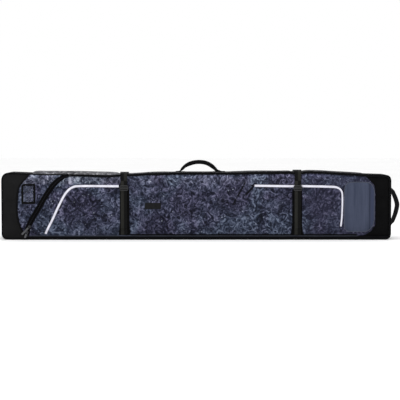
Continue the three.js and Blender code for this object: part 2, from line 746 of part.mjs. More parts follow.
function lidPieces() {
  const slab = lidSlab();
  const leftField = prismField(leftOf(offsetPath(END_PANEL_EDGE, SEAM / 2, false)));
  const rightField = prismField(rightOf(offsetPath(END_PANEL_EDGE, -SEAM / 2, false)));
  return [
    piece('lid_panel', slab.intersect(leftField), PRINT),
    piece('lid_end_panel', slab.intersect(rightField), BLACK),
    piece('zip_tape_lid', zipTapeLid(), BLACK),
    piece('side_patch', onFront(SIDE_PATCH, PATCH), SLATE),
    piece('reflective_line_left', onFront(band(LEFT_LINE, -LINE_HALF, LINE_HALF), TRIM), REFLECTIVE),
    piece('reflective_line_right', onFront(band(RIGHT_LINE, -LINE_HALF, LINE_HALF), TRIM), REFLECTIVE),
    piece('rubber_patch', onFront(rectangle([-252, -174], [149, 179]), RUBBER_LAYER), RUBBER),
  ];
}

// ---- inside --------------------------------------------------------------------------------

const TIE_DOWNS = [{ side: 'left', x: -480 }, { side: 'right', x: 420 }];
const TIE_DOWN_HALF = 12.5;
const TIE_DOWN_Z = [24, 290];
const TIE_BUCKLE = { half: 17, slotHalf: 13, thick: 8, z: [140, 186], slots: [148, 174], slotHeight: 3.6 };

function tieDownPieces({ side, x }) {
  const { half, slotHalf, thick, z, slots, slotHeight } = TIE_BUCKLE;
  const wall = BACK_Y - BACK_PADDING - GAP;
  const face = wall - WEB_THICK - GAP;
  const web = box([x - TIE_DOWN_HALF, x + TIE_DOWN_HALF], [wall - WEB_THICK, wall], TIE_DOWN_Z);
  const frame = box([x - half, x + half], [face - thick, face], z);
  const slotXs = [x - slotHalf, x + slotHalf];
  const slotYs = [face - thick - 1, face + 1];
  const holes = slots.map((low) => box(slotXs, slotYs, [low, low + slotHeight]));
  return [
    piece(`tie_down_strap_${side}`, web, WEB),
    piece(`tie_down_buckle_${side}`, frame.subtract(holes[0]).subtract(holes[1]), PLASTIC),
  ];
}

const bag = new THREE.Group();
bag.add(
  ...shellPieces(),
  ...windowPieces(),
  ...lidPieces(),
  ...STRAPS.flatMap(strapPieces),
  ...SLIDERS.map(sliderGroup),
  ...handlePieces(),
  piece('wheel_housing', housingSolid(), PLASTIC),
  wheelGroup(WHEEL_ZS[0], 'lower'),
  wheelGroup(WHEEL_ZS[1], 'upper'),
  ...TIE_DOWNS.flatMap(tieDownPieces),
);

export default bag;
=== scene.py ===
"""Looks of a long padded ski bag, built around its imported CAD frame. Metres, +Z up, front towards -Y."""

import math

import bpy
import numpy as np
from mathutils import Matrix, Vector
from mathutils.geometry import delaunay_2d_cdt
from mathutils.kdtree import KDTree


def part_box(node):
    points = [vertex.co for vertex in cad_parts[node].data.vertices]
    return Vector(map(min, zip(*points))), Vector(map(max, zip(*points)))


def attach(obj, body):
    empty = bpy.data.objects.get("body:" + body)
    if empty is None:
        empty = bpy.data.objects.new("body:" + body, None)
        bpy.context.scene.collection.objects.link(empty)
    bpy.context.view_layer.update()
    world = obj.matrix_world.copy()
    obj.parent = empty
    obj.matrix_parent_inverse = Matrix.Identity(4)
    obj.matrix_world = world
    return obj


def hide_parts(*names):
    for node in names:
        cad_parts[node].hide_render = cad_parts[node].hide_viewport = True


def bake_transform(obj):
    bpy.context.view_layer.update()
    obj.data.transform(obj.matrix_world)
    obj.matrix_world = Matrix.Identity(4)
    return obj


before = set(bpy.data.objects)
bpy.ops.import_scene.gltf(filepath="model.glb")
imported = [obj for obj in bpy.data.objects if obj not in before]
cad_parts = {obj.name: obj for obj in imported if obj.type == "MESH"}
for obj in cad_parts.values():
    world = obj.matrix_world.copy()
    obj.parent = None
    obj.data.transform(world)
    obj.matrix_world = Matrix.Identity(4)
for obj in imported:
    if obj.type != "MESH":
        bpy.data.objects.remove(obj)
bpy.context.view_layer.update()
SCENE = bpy.context.scene

# ---------------------------------------------------------------- camera
AIM = np.array([0.0145, -0.09, 0.1925])
DISTANCE = 6.2
ELEVATION = math.radians(3.0)
FIELD_WIDTH = 1.933
SENSOR = 36

camera = bpy.data.objects.new("camera", bpy.data.cameras.new("camera"))
SCENE.collection.objects.link(camera)
SCENE.camera = camera
camera.location = AIM + DISTANCE * np.array([0, -math.cos(ELEVATION), math.sin(ELEVATION)])
camera.rotation_euler = (math.pi / 2 - ELEVATION, 0, 0)
camera.data.sensor_width = SENSOR
camera.data.lens = SENSOR * DISTANCE / FIELD_WIDTH
camera.data.clip_end = 100

# ---------------------------------------------------------------- outlines, X and Z in millimetres
TOP_LINE = np.array([
    (-905, 325), (-850, 323), (-790, 320), (-740, 318), (-660, 318), (-520, 316), (-478, 314), (-410, 313),
    (-385, 316), (-322, 318), (-285, 320), (-227, 323), (-150, 324), (-92, 326), (200, 326), (256, 328),
    (410, 329), (455, 330), (466, 327), (509, 327.5), (524, 331), (545, 332), (604, 330), (681, 325),
    (758, 321), (836, 316), (909, 314),
]) / 1000
CAP_EDGE = np.array([
    (-826, 3), (-831, 22), (-841, 36), (-860, 75), (-870, 128), (-868, 191), (-863, 249), (-841, 283),
    (-811, 313),
]) / 1000
END_PANEL_EDGE = np.array([
    (798, 20), (817, 24), (846, 46), (862, 75), (862, 215), (858, 261), (831, 292), (812, 308),
]) / 1000
ZIP_DIAGONAL = np.array([
    (-825, 19), (-819, 56), (-798, 100), (-771, 143), (-737, 204), (-699, 260), (-676, 284), (-650, 299.5),
    (-618, 307.5),
]) / 1000
GORE_EDGE = np.array([(-776, 19.5), (-789, 50), (-803, 85)]) / 1000
LEFT_LINE = np.array([
    (-733, 29), (-720, 56), (-698, 99), (-677, 145), (-657, 186), (-640, 217), (-621, 242), (-599, 256),
    (-575, 261), (-378, 259),
]) / 1000
RIGHT_LINE = np.array([
    (278, 262), (462, 259), (510, 260), (655, 257), (676, 254), (691, 246), (700, 232), (702, 214),
    (702, 167), (700, 104), (695, 65),
]) / 1000
SIDE_PATCH = np.array([
    (736, 39), (822, 39), (845, 58), (856, 86), (856, 244), (847, 265), (828, 279), (738, 279),
    (719, 270), (712, 250), (712, 62), (719, 46),
]) / 1000
WINDOW_RING = np.array([(-848, 173), (-780, 173), (-780, 271), (-839, 271), (-848, 261)]) / 1000
BADGE = np.array([(-252, 149), (-174, 149), (-174, 179), (-252, 179)]) / 1000

# ---------------------------------------------------------------- places, in metres
STRAP_X = (-0.353, 0.487)
LEFT_X, RIGHT_X = -0.947, 0.940
CORNER, CORNER_TOP_LEFT = 0.031, 0.042
FRONT_Y = -0.085
SEAM_INSET = 0.0066
ZIP_INSET = 0.009
ZIP_FLAT = 0.012
LID_BOTTOM = 0.0195
GORE_TOP_X = -0.803
LID_TOP_LEFT_X = -0.6184


# ---------------------------------------------------------------- curves
def smooth(low, high, t):
    """0 below low, 1 above high and a smooth rise between."""
    s = np.clip((np.asarray(t, float) - low) / (high - low), 0, 1)
    return s * s * (3 - 2 * s)


def bell(t, width):
    return np.exp(-((t / width) ** 2))


def unit(vectors):
    return vectors / (np.linalg.norm(vectors, axis=-1, keepdims=True) + 1e-12)


def tangents(path):
    return unit(np.gradient(np.asarray(path, float), axis=0))


def ring_tangents(ring):
    return unit(np.roll(ring, -1, 0) - np.roll(ring, 1, 0))


def left_of(directions):
    """2D directions turned a quarter turn to their left."""
    return np.stack([-directions[:, 1], directions[:, 0]], 1)


def run_along(path):
    """Length run from the start to each point of a path."""
    return np.concatenate([[0], np.cumsum(np.linalg.norm(np.diff(path, axis=0), axis=1))])


def closed(points):
    return np.vstack([points, points[:1]])


def densify(points, step):
    """Points along a polyline at about that step, with its corners kept."""
    points = np.asarray(points, float)
    out = [points[0]]
    for a, b in zip(points[:-1], points[1:]):
        n = max(1, int(round(np.linalg.norm(b - a) / step)))
        out += [a + (b - a) * k / n for k in range(1, n + 1)]
    return np.array(out)


def closed_densify(ring, step):
    return densify(closed(np.asarray(ring, float)), step)[:-1]


def rounded(points, passes=3):
    """Chaikin corner cutting with the ends kept."""
    points = np.asarray(points, float)
    for _ in range(passes):
        cut = np.empty((2 * len(points) - 2, points.shape[1]))
        cut[0::2] = points[:-1] * 0.75 + points[1:] * 0.25
        cut[1::2] = points[:-1] * 0.25 + points[1:] * 0.75
        points = np.vstack([points[:1], cut, points[-1:]])
    return points


def round_ring(points, cut=0.004, passes=2):
    """Closed ring with its corners cut round."""
    ring = np.asarray(points, float)
    for _ in range(passes):
        before, after = np.roll(ring, 1, 0), np.roll(ring, -1, 0)
        lead = np.minimum(cut / (np.linalg.norm(before - ring, axis=1) + 1e-9), 0.3)[:, None]
        tail = np.minimum(cut / (np.linalg.norm(after - ring, axis=1) + 1e-9), 0.3)[:, None]
        ring = np.stack([ring + (before - ring) * lead, ring + (after - ring) * tail], 1).reshape(-1, 2)
        cut *= 0.4
    return ring


def resample(points, shares):
    """Points at the given shares of a path's length."""
    run = run_along(points)
    return np.stack([np.interp(shares * run[-1], run, points[:, k]) for k in range(points.shape[1])], 1)


def sideways(points, distance):
    """A 2D polyline moved to its left."""
    return points + distance * left_of(tangents(points))


def bezier(a, b, c, count=12):
    t = np.linspace(0, 1, count)[:, None]
    return (1 - t) ** 2 * np.array(a) + 2 * t * (1 - t) * np.array(b) + t * t * np.array(c)


def rectangle(x0, y0, x1, y1):
    return np.array([(x0, y0), (x1, y0), (x1, y1), (x0, y1)])


def anticlockwise(ring):
    x, y = ring[:, 0], ring[:, 1]
    area = (x * np.roll(y, -1) - np.roll(x, -1) * y).sum()
    return ring if area > 0 else ring[::-1]


DENSE_X = np.linspace(-0.96, 0.96, 769)
KERNEL = bell(np.linspace(-2, 2, 7), 1)
DENSE_TOP = np.convolve(
    np.pad(np.interp(DENSE_X, TOP_LINE[:, 0], TOP_LINE[:, 1]), len(KERNEL) // 2, "edge"),
    KERNEL / KERNEL.sum(), "valid",
)


def top_at(x):
    """Height of the top edge, a softened TOP_LINE."""
    return np.interp(x, DENSE_X, DENSE_TOP)


def outline(inset):
    """Closed outline of the bag from the low left corner round by the right, moved inwards."""
    i = inset
    first, last = TOP_LINE[0, 0], TOP_LINE[-1, 0]
    top_left, top_right = top_at(first), top_at(last)
    low_left = bezier((LEFT_X + i, CORNER), (LEFT_X + i, i), (LEFT_X + CORNER, i))
    bottom = densify([(LEFT_X + CORNER, i), (RIGHT_X - CORNER, i)], 0.02)[1:-1]
    low_right = bezier((RIGHT_X - CORNER, i), (RIGHT_X - i, i), (RIGHT_X - i, CORNER))
    high_right = bezier((RIGHT_X - i, top_right - CORNER), (RIGHT_X - i, top_right - i),
                        (last, top_right - i))
    xs = np.linspace(last - 0.009, first + 0.009, 182)
    top = np.stack([xs, top_at(xs) - i], 1)
    high_left = bezier((first, top_left - i), (LEFT_X + i, top_left - i),
                       (LEFT_X + i, top_left - CORNER_TOP_LEFT))
    return np.vstack([low_left, bottom, low_right, high_right, top, high_left])


def outline_run(inset, keep):
    """Points of the inset outline where keep(x, z) holds, in its own anticlockwise order."""
    return np.array([p for p in outline(inset) if keep(*p)])


# ---------------------------------------------------------------- 2D fields
def distance_to(points, dense):
    """Distance of each 2D point from the nearest of the dense points."""
    tree = KDTree(len(dense))
    for i, (x, y) in enumerate(dense):
        tree.insert((x, y, 0), i)
    tree.balance()
    return np.array([tree.find((x, y, 0))[2] for x, y in points])


def edge_distance(points, rings):
    return distance_to(points, np.vstack([closed_densify(ring, 0.002) for ring in rings]))


def inside(points, ring):
    """Which 2D points lie inside a closed ring."""
    x, y = points[:, 0], points[:, 1]
    found = np.zeros(len(points), bool)
    for (x0, y0), (x1, y1) in zip(ring, np.roll(ring, -1, 0)):
        if y0 != y1:
            crosses = (y0 > y) != (y1 > y)
            found ^= crosses & (x < (x1 - x0) * (y - y0) / (y1 - y0) + x0)
    return found


def in_field(points, rings):
    """Which 2D points lie inside the first ring and outside the others."""
    kept = inside(points, rings[0])
    for hole in rings[1:]:
        kept &= ~inside(points, hole)
    return kept


def candidates(rings, spacing, bands):
    """Rows of points beside the rings and a staggered grid, each with its least distance from the edge."""
    rows = []
    for ring in rings:
        normal = left_of(ring_tangents(ring))
        for d in bands:
            rows += [(ring + side * d * normal, d) for side in (1, -1)]
    low, high = rings[0].min(0), rings[0].max(0)
    gx, gy = np.meshgrid(np.arange(low[0], high[0], spacing), np.arange(low[1], high[1], spacing * 0.87))
    gx = gx + (np.arange(len(gy)) % 2)[:, None] * spacing / 2
    rows.append((np.stack([gx.ravel(), gy.ravel()], 1), bands[-1] + spacing * 0.6))
    return rows


def fill(rings, spacing, bands):
    """Triangles over a ring with holes, finer along the edges: 2D points, triangles, edge distances."""
    rings = [closed_densify(ring, spacing * 0.6) for ring in rings]
    points, edges, start = list(rings), [], 0
    for row, least in candidates(rings, spacing, bands):
        row = row[in_field(row, rings)]
        if len(row):
            points.append(row[edge_distance(row, rings) > least * 0.93])
    for ring in rings:
        n = len(ring)
        edges += [(start + i, start + (i + 1) % n) for i in range(n)]
        start += n
    got = delaunay_2d_cdt([Vector(p) for p in np.vstack(points)], edges, [], 0, 1e-6)
    flat = np.array([tuple(v) for v in got[0]], float)
    tris = np.array([tuple(f) for f in got[2]], int)
    tris = tris[in_field(flat[tris].mean(1), rings)]
    a, b, c = flat[tris[:, 0]], flat[tris[:, 1]], flat[tris[:, 2]]
    area = (b[:, 0] - a[:, 0]) * (c[:, 1] - a[:, 1]) - (b[:, 1] - a[:, 1]) * (c[:, 0] - a[:, 0])
    tris[area < 0] = tris[area < 0][:, ::-1]
    tris = tris[np.abs(area) > 1e-12]
    used = np.unique(tris)
    remap = np.full(len(flat), -1)
    remap[used] = np.arange(len(used))
    flat, tris = flat[used], remap[tris]
    return flat, tris, edge_distance(flat, rings)


# ---------------------------------------------------------------- cloth simulation of the padded sides
CLOTH_STEP = 0.012
CLOTH_CAP = 0.007
CLOTH_FRAMES = 20
HELD_REACH = 0.0085
CLOTH_SETTINGS = {
    "quality": 6, "mass": 0.2, "tension_stiffness": 12, "compression_stiffness": 6, "shear_stiffness": 4,
    "bending_stiffness": 0.15, "air_damping": 2, "use_pressure": True, "uniform_pressure_force": 2.5,
    "shrink_min": -0.008, "vertex_group_mass": "held",
}


def wobble(x, z):
    """Uneven waves between about -1 and 1."""
    return (
        0.5 * np.sin(9.3 * x + 1.7 * np.sin(4.1 * x + 12 * z) + 14 * z)
        + 0.3 * np.sin(23 * x - 31 * z + 2.1 * np.sin(6 * x))
        + 0.2 * np.sin(47 * x + 53 * z + 1.3)
    )


def cloth_grid(xs, zs, phase, lines):
    """Upright cloth over the grid, slightly uneven, with the group of points held along the lines."""
    gx, gz = [g.ravel() for g in np.meshgrid(xs, zs, indexing="ij")]
    start = 0.002 * wobble(2.3 * gx + phase, 2.1 * gz)
    index = np.arange(len(gx)).reshape(len(xs), len(zs))
    quads = np.stack([index[:-1, :-1], index[1:, :-1], index[1:, 1:], index[:-1, 1:]], -1).reshape(-1, 4)
    mesh = bpy.data.meshes.new("cloth_grid")
    mesh.from_pydata(np.stack([gx, start, gz], 1).tolist(), [], quads.tolist())
    obj = bpy.data.objects.new("cloth_grid", mesh)
    SCENE.collection.objects.link(obj)
    seams = np.vstack([densify(line, 0.004) for line in lines])
    held = np.flatnonzero(distance_to(np.stack([gx, gz], 1), seams) < HELD_REACH)
    obj.vertex_groups.new(name="held").add(held.tolist(), 1.0, "REPLACE")
    return obj


def cloth_relief(lines, phase):
    """Puffed and creased relief of a cloth held along its seams: grid lines in X and Z and the rise."""
    xs = np.arange(LEFT_X + 0.010, RIGHT_X - 0.004, CLOTH_STEP)
    zs = np.arange(0.010, 0.330, CLOTH_STEP)
    obj = cloth_grid(xs, zs, phase, lines)
    modifier = obj.modifiers.new("cloth", "CLOTH")
    for key, value in CLOTH_SETTINGS.items():
        setattr(modifier.settings, key, value)
    modifier.settings.effector_weights.gravity = 0
    modifier.point_cache.frame_start = 1
    modifier.point_cache.frame_end = CLOTH_FRAMES
    for at in range(1, CLOTH_FRAMES + 1):
        SCENE.frame_set(at)
    done = obj.evaluated_get(bpy.context.evaluated_depsgraph_get())
    rise = np.array([-v.co.y for v in done.data.vertices]).reshape(len(xs), len(zs))
    bpy.data.objects.remove(obj)
    SCENE.frame_set(1)
    soft = np.pad(rise, 1, "edge")
    soft = (soft[:-2, 1:-1] + soft[2:, 1:-1] + soft[1:-1, :-2] + soft[1:-1, 2:] + 4 * soft[1:-1, 1:-1]) / 8
    return xs, zs, CLOTH_CAP * np.tanh(soft / CLOTH_CAP)


def relief_at(relief, x, z):
    """Rise of a relief at X, Z, between its grid lines."""
    xs, zs, rise = relief
    i = np.clip((x - xs[0]) / CLOTH_STEP, 0, len(xs) - 1.001)
    k = np.clip((z - zs[0]) / CLOTH_STEP, 0, len(zs) - 1.001)
    i0, k0 = i.astype(int), k.astype(int)
    u, v = i - i0, k - k0
    low = rise[i0, k0] * (1 - u) + rise[i0 + 1, k0] * u
    high = rise[i0, k0 + 1] * (1 - u) + rise[i0 + 1, k0 + 1] * u
    return low * (1 - v) + high * v


HELD_LINES = [np.array([(s + d, 0.0), (s + d, 0.335)]) for s in STRAP_X for d in (-0.012, 0.0, 0.012)]
HELD_LINES += [closed(outline(0.0)), closed(outline(0.012))]
FRONT_RELIEF = cloth_relief(HELD_LINES + [
    CAP_EDGE, END_PANEL_EDGE, ZIP_DIAGONAL, GORE_EDGE, LEFT_LINE, RIGHT_LINE, closed(SIDE_PATCH),
    closed(WINDOW_RING), closed(BADGE), np.array([(LEFT_X, 0.021), (RIGHT_X, 0.021)]),
], 0.4)
BACK_RELIEF = cloth_relief(HELD_LINES + [np.array([(-0.826, 0.0), (-0.826, 0.33)])], 2.2)


# ---------------------------------------------------------------- soft front surface
CROWN, PILLOW, PINCH, CRUMPLE, PULL = 0.0080, 0.0025, 0.0042, 0.0007, 0.0013


def from_strap(x, width):
    return sum(bell(x - s, width) for s in STRAP_X)


def off_strap(x, width):
    """0 on the straps and 1 away from them."""
    return 1 - np.clip(from_strap(x, width), 0, 1)


def near_zip(x, z):
    """1 on the zip's diagonal, falling to 0 a few centimetres off it."""
    least = np.full(np.broadcast(x, z).shape, np.inf)
    for (ax, az), (bx, bz) in zip(ZIP_DIAGONAL[:-1], ZIP_DIAGONAL[1:]):
        ux, uz = bx - ax, bz - az
        t = np.clip(((x - ax) * ux + (z - az) * uz) / (ux * ux + uz * uz), 0, 1)
        least = np.minimum(least, np.hypot(x - ax - t * ux, z - az - t * uz))
    return bell(np.maximum(least - ZIP_FLAT, 0), 0.016)


def strap_pulls(x, z):
    """Slanting creases that run off each strap."""
    return sum(
        np.sin((z + 0.35 * np.abs(x - s)) * 150) * bell(np.abs(x - s) - 0.055, 0.035) for s in STRAP_X
    )


def front_y(x, z, out=0.0):
    """Y of the padded front at X, Z, moved outwards by out."""
    x, z = np.asarray(x, float), np.asarray(z, float)
    ends = (smooth(LEFT_X, LEFT_X + 0.072, x) * smooth(RIGHT_X, RIGHT_X - 0.072, x)) ** 0.8
    height = smooth(0.008, 0.064, z) * smooth(0.0, 0.048, top_at(x) - 0.008 - z)
    flat = off_strap(x, 0.030) * (1 - near_zip(x, z))
    crown = CROWN * ends * height
    pillow = PILLOW * off_strap(x, 0.15) * height * ends * flat
    pinch = PINCH * from_strap(x, 0.034) * height
    crumple = CRUMPLE * wobble(x, z) * height * ends * flat
    pulls = PULL * strap_pulls(x, z) * height
    return FRONT_Y - crown - pillow + pinch - crumple - pulls - relief_at(FRONT_RELIEF, x, z) * flat - out


def laid(p, y):
    return np.stack([p[:, 0], y, p[:, 1]], 1)


def on_front(points, offset):
    """3D points on the front, that far off it, from X, Z points."""
    points = np.asarray(points, float)
    return laid(points, front_y(points[:, 0], points[:, 1], offset))


def skin(out, sink=0.0, reach=1.0):
    """Surface of a slab on the front, that far off it and sunk at the slab's edge."""
    def at(p, near):
        return laid(p, front_y(p[:, 0], p[:, 1], out) + sink * bell(near, reach))
    return at


# ---------------------------------------------------------------- mesh makers
BANDS = (0.0014, 0.0032, 0.006, 0.0105)


def link(name, verts, faces, material, uvs=None, second=None, second_faces=(), sharp=50):
    """Smooth object from a mesh; second is the material of second_faces."""
    mesh = bpy.data.meshes.new(name)
    points = [tuple(v) for v in np.asarray(verts, float)]
    mesh.from_pydata(points, [], [tuple(int(i) for i in f) for f in faces])
    mesh.materials.append(material)
    if second is not None:
        mesh.materials.append(second)
        index = np.zeros(len(mesh.polygons), np.int32)
        index[list(second_faces)] = 1
        mesh.polygons.foreach_set("material_index", index)
    if uvs is not None:
        layer = mesh.uv_layers.new(name="UVMap")
        loops = np.empty(len(mesh.loops), np.int32)
        mesh.loops.foreach_get("vertex_index", loops)
        layer.data.foreach_set("uv", np.asarray(uvs, np.float32)[loops].ravel())
    mesh.polygons.foreach_set("use_smooth", np.ones(len(mesh.polygons), bool))
    mesh.set_sharp_from_angle(angle=math.radians(sharp))
    mesh.update()
    obj = bpy.data.objects.new(name, mesh)
    SCENE.collection.objects.link(obj)
    return obj


def shell_faces(faces, count):
    """Faces of a sheet, its copy turned over on the next count vertices and the walls between their edges."""
    edges = set()
    for face in faces:
        edges.update(zip(face, face[1:] + face[:1]))
    backs = [tuple(count + k for k in face[::-1]) for face in faces]
    walls = [(b, a, count + a, count + b) for a, b in edges if (b, a) not in edges]
    return faces + backs + walls


def slab(name, rings, outer_at, inner_at, material, lining=None, spacing=0.009, bands=BANDS, uv=None,
         sharp=50):
    """Closed padded piece over a 2D field. outer_at and inner_at turn its points and their distances from the
    edge into 3D points."""
    flat, tris, near = fill(rings, spacing, bands)
    verts = np.vstack([outer_at(flat, near), inner_at(flat, near)])
    faces = shell_faces([tuple(t) for t in tris], len(flat))
    second = range(len(tris), 2 * len(tris)) if lining else ()
    uvs = np.vstack([flat if uv is None else uv(flat)] * 2)
    return link(name, verts, faces, material, uvs, lining, second, sharp)


def front_slab(name, ring, material, thick=0.0115, seam=0.0032, reach=0.0065):
    """Lined padded panel on the front surface whose edges sink into their seams."""
    inner_at = skin(-thick, -0.3 * seam, reach)
    return slab(name, [anticlockwise(ring)], skin(0.0, seam, reach), inner_at, material, M_LINING)


def loft(name, centres, wide, thin, widths, thicks, material, sides=12, power=4.0, closed=False):
    """Band or tube along 3D centres; wide and thin are the directions of its width and thickness."""
    centres = np.asarray(centres, float)
    n = len(centres)
    wide = np.broadcast_to(np.asarray(wide, float), (n, 3))
    thin = np.broadcast_to(np.asarray(thin, float), (n, 3))
    widths = np.broadcast_to(np.asarray(widths, float), (n,))
    thicks = np.broadcast_to(np.asarray(thicks, float), (n,))
    angle = np.linspace(0, 2 * math.pi, sides, endpoint=False)
    c = np.sign(np.cos(angle)) * np.abs(np.cos(angle)) ** (2 / power)
    s = np.sign(np.sin(angle)) * np.abs(np.sin(angle)) ** (2 / power)
    rings = (
        centres[:, None]
        + wide[:, None] * (c[None, :, None] * widths[:, None, None] / 2)
        + thin[:, None] * (s[None, :, None] * thicks[:, None, None] / 2)
    )
    flip = np.dot(np.cross(wide[0], thin[0]), centres[1] - centres[0]) < 0
    faces = []
    for i in range(n if closed else n - 1):
        j = (i + 1) % n
        for k in range(sides):
            m = (k + 1) % sides
            quad = (i * sides + k, i * sides + m, j * sides + m, j * sides + k)
            faces.append(quad[::-1] if flip else quad)
    if not closed:
        first, last = tuple(range(sides)), tuple(range((n - 1) * sides, n * sides))
        faces += [first, last[::-1]] if flip else [first[::-1], last]
    uvs = np.stack([
        np.repeat(run_along(centres), sides),
        (c[None] * widths[:, None] / 2 + s[None] * thicks[:, None] * 0.25).ravel(),
    ], 1)
    return link(name, rings.reshape(-1, 3), faces, material, uvs)


def tube(name, path, radius, material, sides=8, closed=False):
    """Round tube along a 3D path that never runs along Y."""
    path = np.asarray(path, float)
    tangent = ring_tangents(path) if closed else tangents(path)
    side = unit(np.cross(tangent, (0, 1, 0)))
    thin = np.cross(side, tangent)
    return loft(name, path, side, thin, 2 * radius, 2 * radius, material, sides, 2.0, closed)


def strip(name, outer, inner, material, uv):
    """Closed ribbon from two grids of 3D points, along by across."""
    index = np.arange(outer.shape[0] * outer.shape[1]).reshape(outer.shape[:2])
    corners = (index[:-1, :-1], index[1:, :-1], index[1:, 1:], index[:-1, 1:])
    quads = [tuple(q) for q in np.stack(corners, -1).reshape(-1, 4)]
    normal = np.cross(outer[1, 0] - outer[0, 0], outer[0, 1] - outer[0, 0])
    if np.dot(normal, outer[0, 0] - inner[0, 0]) < 0:
        quads = [q[::-1] for q in quads]
    verts = np.vstack([outer.reshape(-1, 3), inner.reshape(-1, 3)])
    return link(name, verts, shell_faces(quads, index.size), material, np.vstack([uv.reshape(-1, 2)] * 2))


def rim_drop(across):
    """How far a ribbon's edges are rounded off, from 0 in the middle to 0.4 of its thickness."""
    return np.abs(across) ** 8 * 0.4


def front_ribbon(name, path, width, offset, thick, material, across=8, shift=0.0, bulge=0.0, face=None):
    """Ribbon on the front along an X, Z path, curved to the surface across its width too."""
    path = densify(path, 0.007)
    half = np.broadcast_to(np.asarray(width(path) if callable(width) else width, float) / 2, (len(path),))
    run = np.linspace(-1, 1, across + 1)
    off = run[None, :] * half[:, None]
    grid = path[:, None] + left_of(tangents(path))[:, None] * (off + shift)[..., None]
    x, z = grid[..., 0], grid[..., 1]
    drop = rim_drop(run)[None] * thick - bulge * (1 - run[None] ** 2)
    outer = np.stack([x, front_y(x, z, offset + thick) + drop, z], 2)
    inner = np.stack([x, front_y(x, z, offset), z], 2)
    uv_across = off + shift if face is None else np.broadcast_to(run * face / 2, off.shape)
    uv = np.stack([np.broadcast_to(run_along(path)[:, None], off.shape), uv_across], 2)
    return strip(name, outer, inner, material, uv)


def yz_ribbon(name, x, path, width, thick, material, across=8):
    """Ribbon of even width along a Y, Z path, with its width along X; the path is its inner face."""
    path = np.asarray(path, float)
    run = np.linspace(-1, 1, across + 1)
    normal = left_of(tangents(path))
    shape = (len(path), len(run))

    def grid(out):
        lift = out * (1 - rim_drop(run))
        made = np.empty((*shape, 3))
        made[..., 0] = x + run * width / 2
        made[..., 1:] = path[:, None] + normal[:, None] * lift[None, :, None]
        return made

    along = np.broadcast_to(run_along(path)[:, None], shape)
    uv = np.stack([along, np.broadcast_to(run * width / 2, shape)], 2)
    return strip(name, grid(thick), grid(0.0), material, uv)


def thread(start, end, radius):
    """Rings of a short raised thread, tapered at both ends."""
    run = end - start
    side = unit(np.cross(unit(run), (0.13, 0.9, 0.41)))
    other = np.cross(unit(run), side)
    verts = []
    for share, size in ((0, 0.4), (0.3, 1), (0.7, 1), (1, 0.4)):
        for quarter in range(4):
            turn = math.pi / 2 * quarter
            spoke = math.cos(turn) * side + math.sin(turn) * other
            verts.append(start + run * share + radius * size * spoke)
    return verts


def thread_faces(base):
    faces = []
    for i in range(3):
        for k in range(4):
            m = (k + 1) % 4
            faces.append(tuple(base + 4 * i + v for v in (k, m, 4 + m, 4 + k)))
    return faces + [tuple(base + k for k in (3, 2, 1, 0)), tuple(base + k for k in (12, 13, 14, 15))]


def stitches(name, rows, material, pitch=0.0055, share=0.66, radius=0.00042):
    """Short raised threads along rows of 3D points, all in one mesh."""
    verts, faces = [], []
    for row in rows:
        row = np.asarray(row, float)
        count = max(2, int(run_along(row)[-1] / pitch))
        starts = (np.arange(count) + 0.17) / count
        for start, end in zip(resample(row, starts), resample(row, starts + share / count)):
            faces += thread_faces(len(verts))
            verts += thread(start, end, radius)
    return link(name, verts, faces, material)


# ---------------------------------------------------------------- materials
def linear(rgb):
    """Scene-linear colour of an sRGB one given in 0 to 255."""
    def one(v):
        v /= 255
        return v / 12.92 if v <= 0.04045 else ((v + 0.055) / 1.055) ** 2.4
    return (*[one(v) for v in rgb], 1.0)


def scaled(rgb, share, more=0):
    return tuple(min(255, v * share + more) for v in rgb)


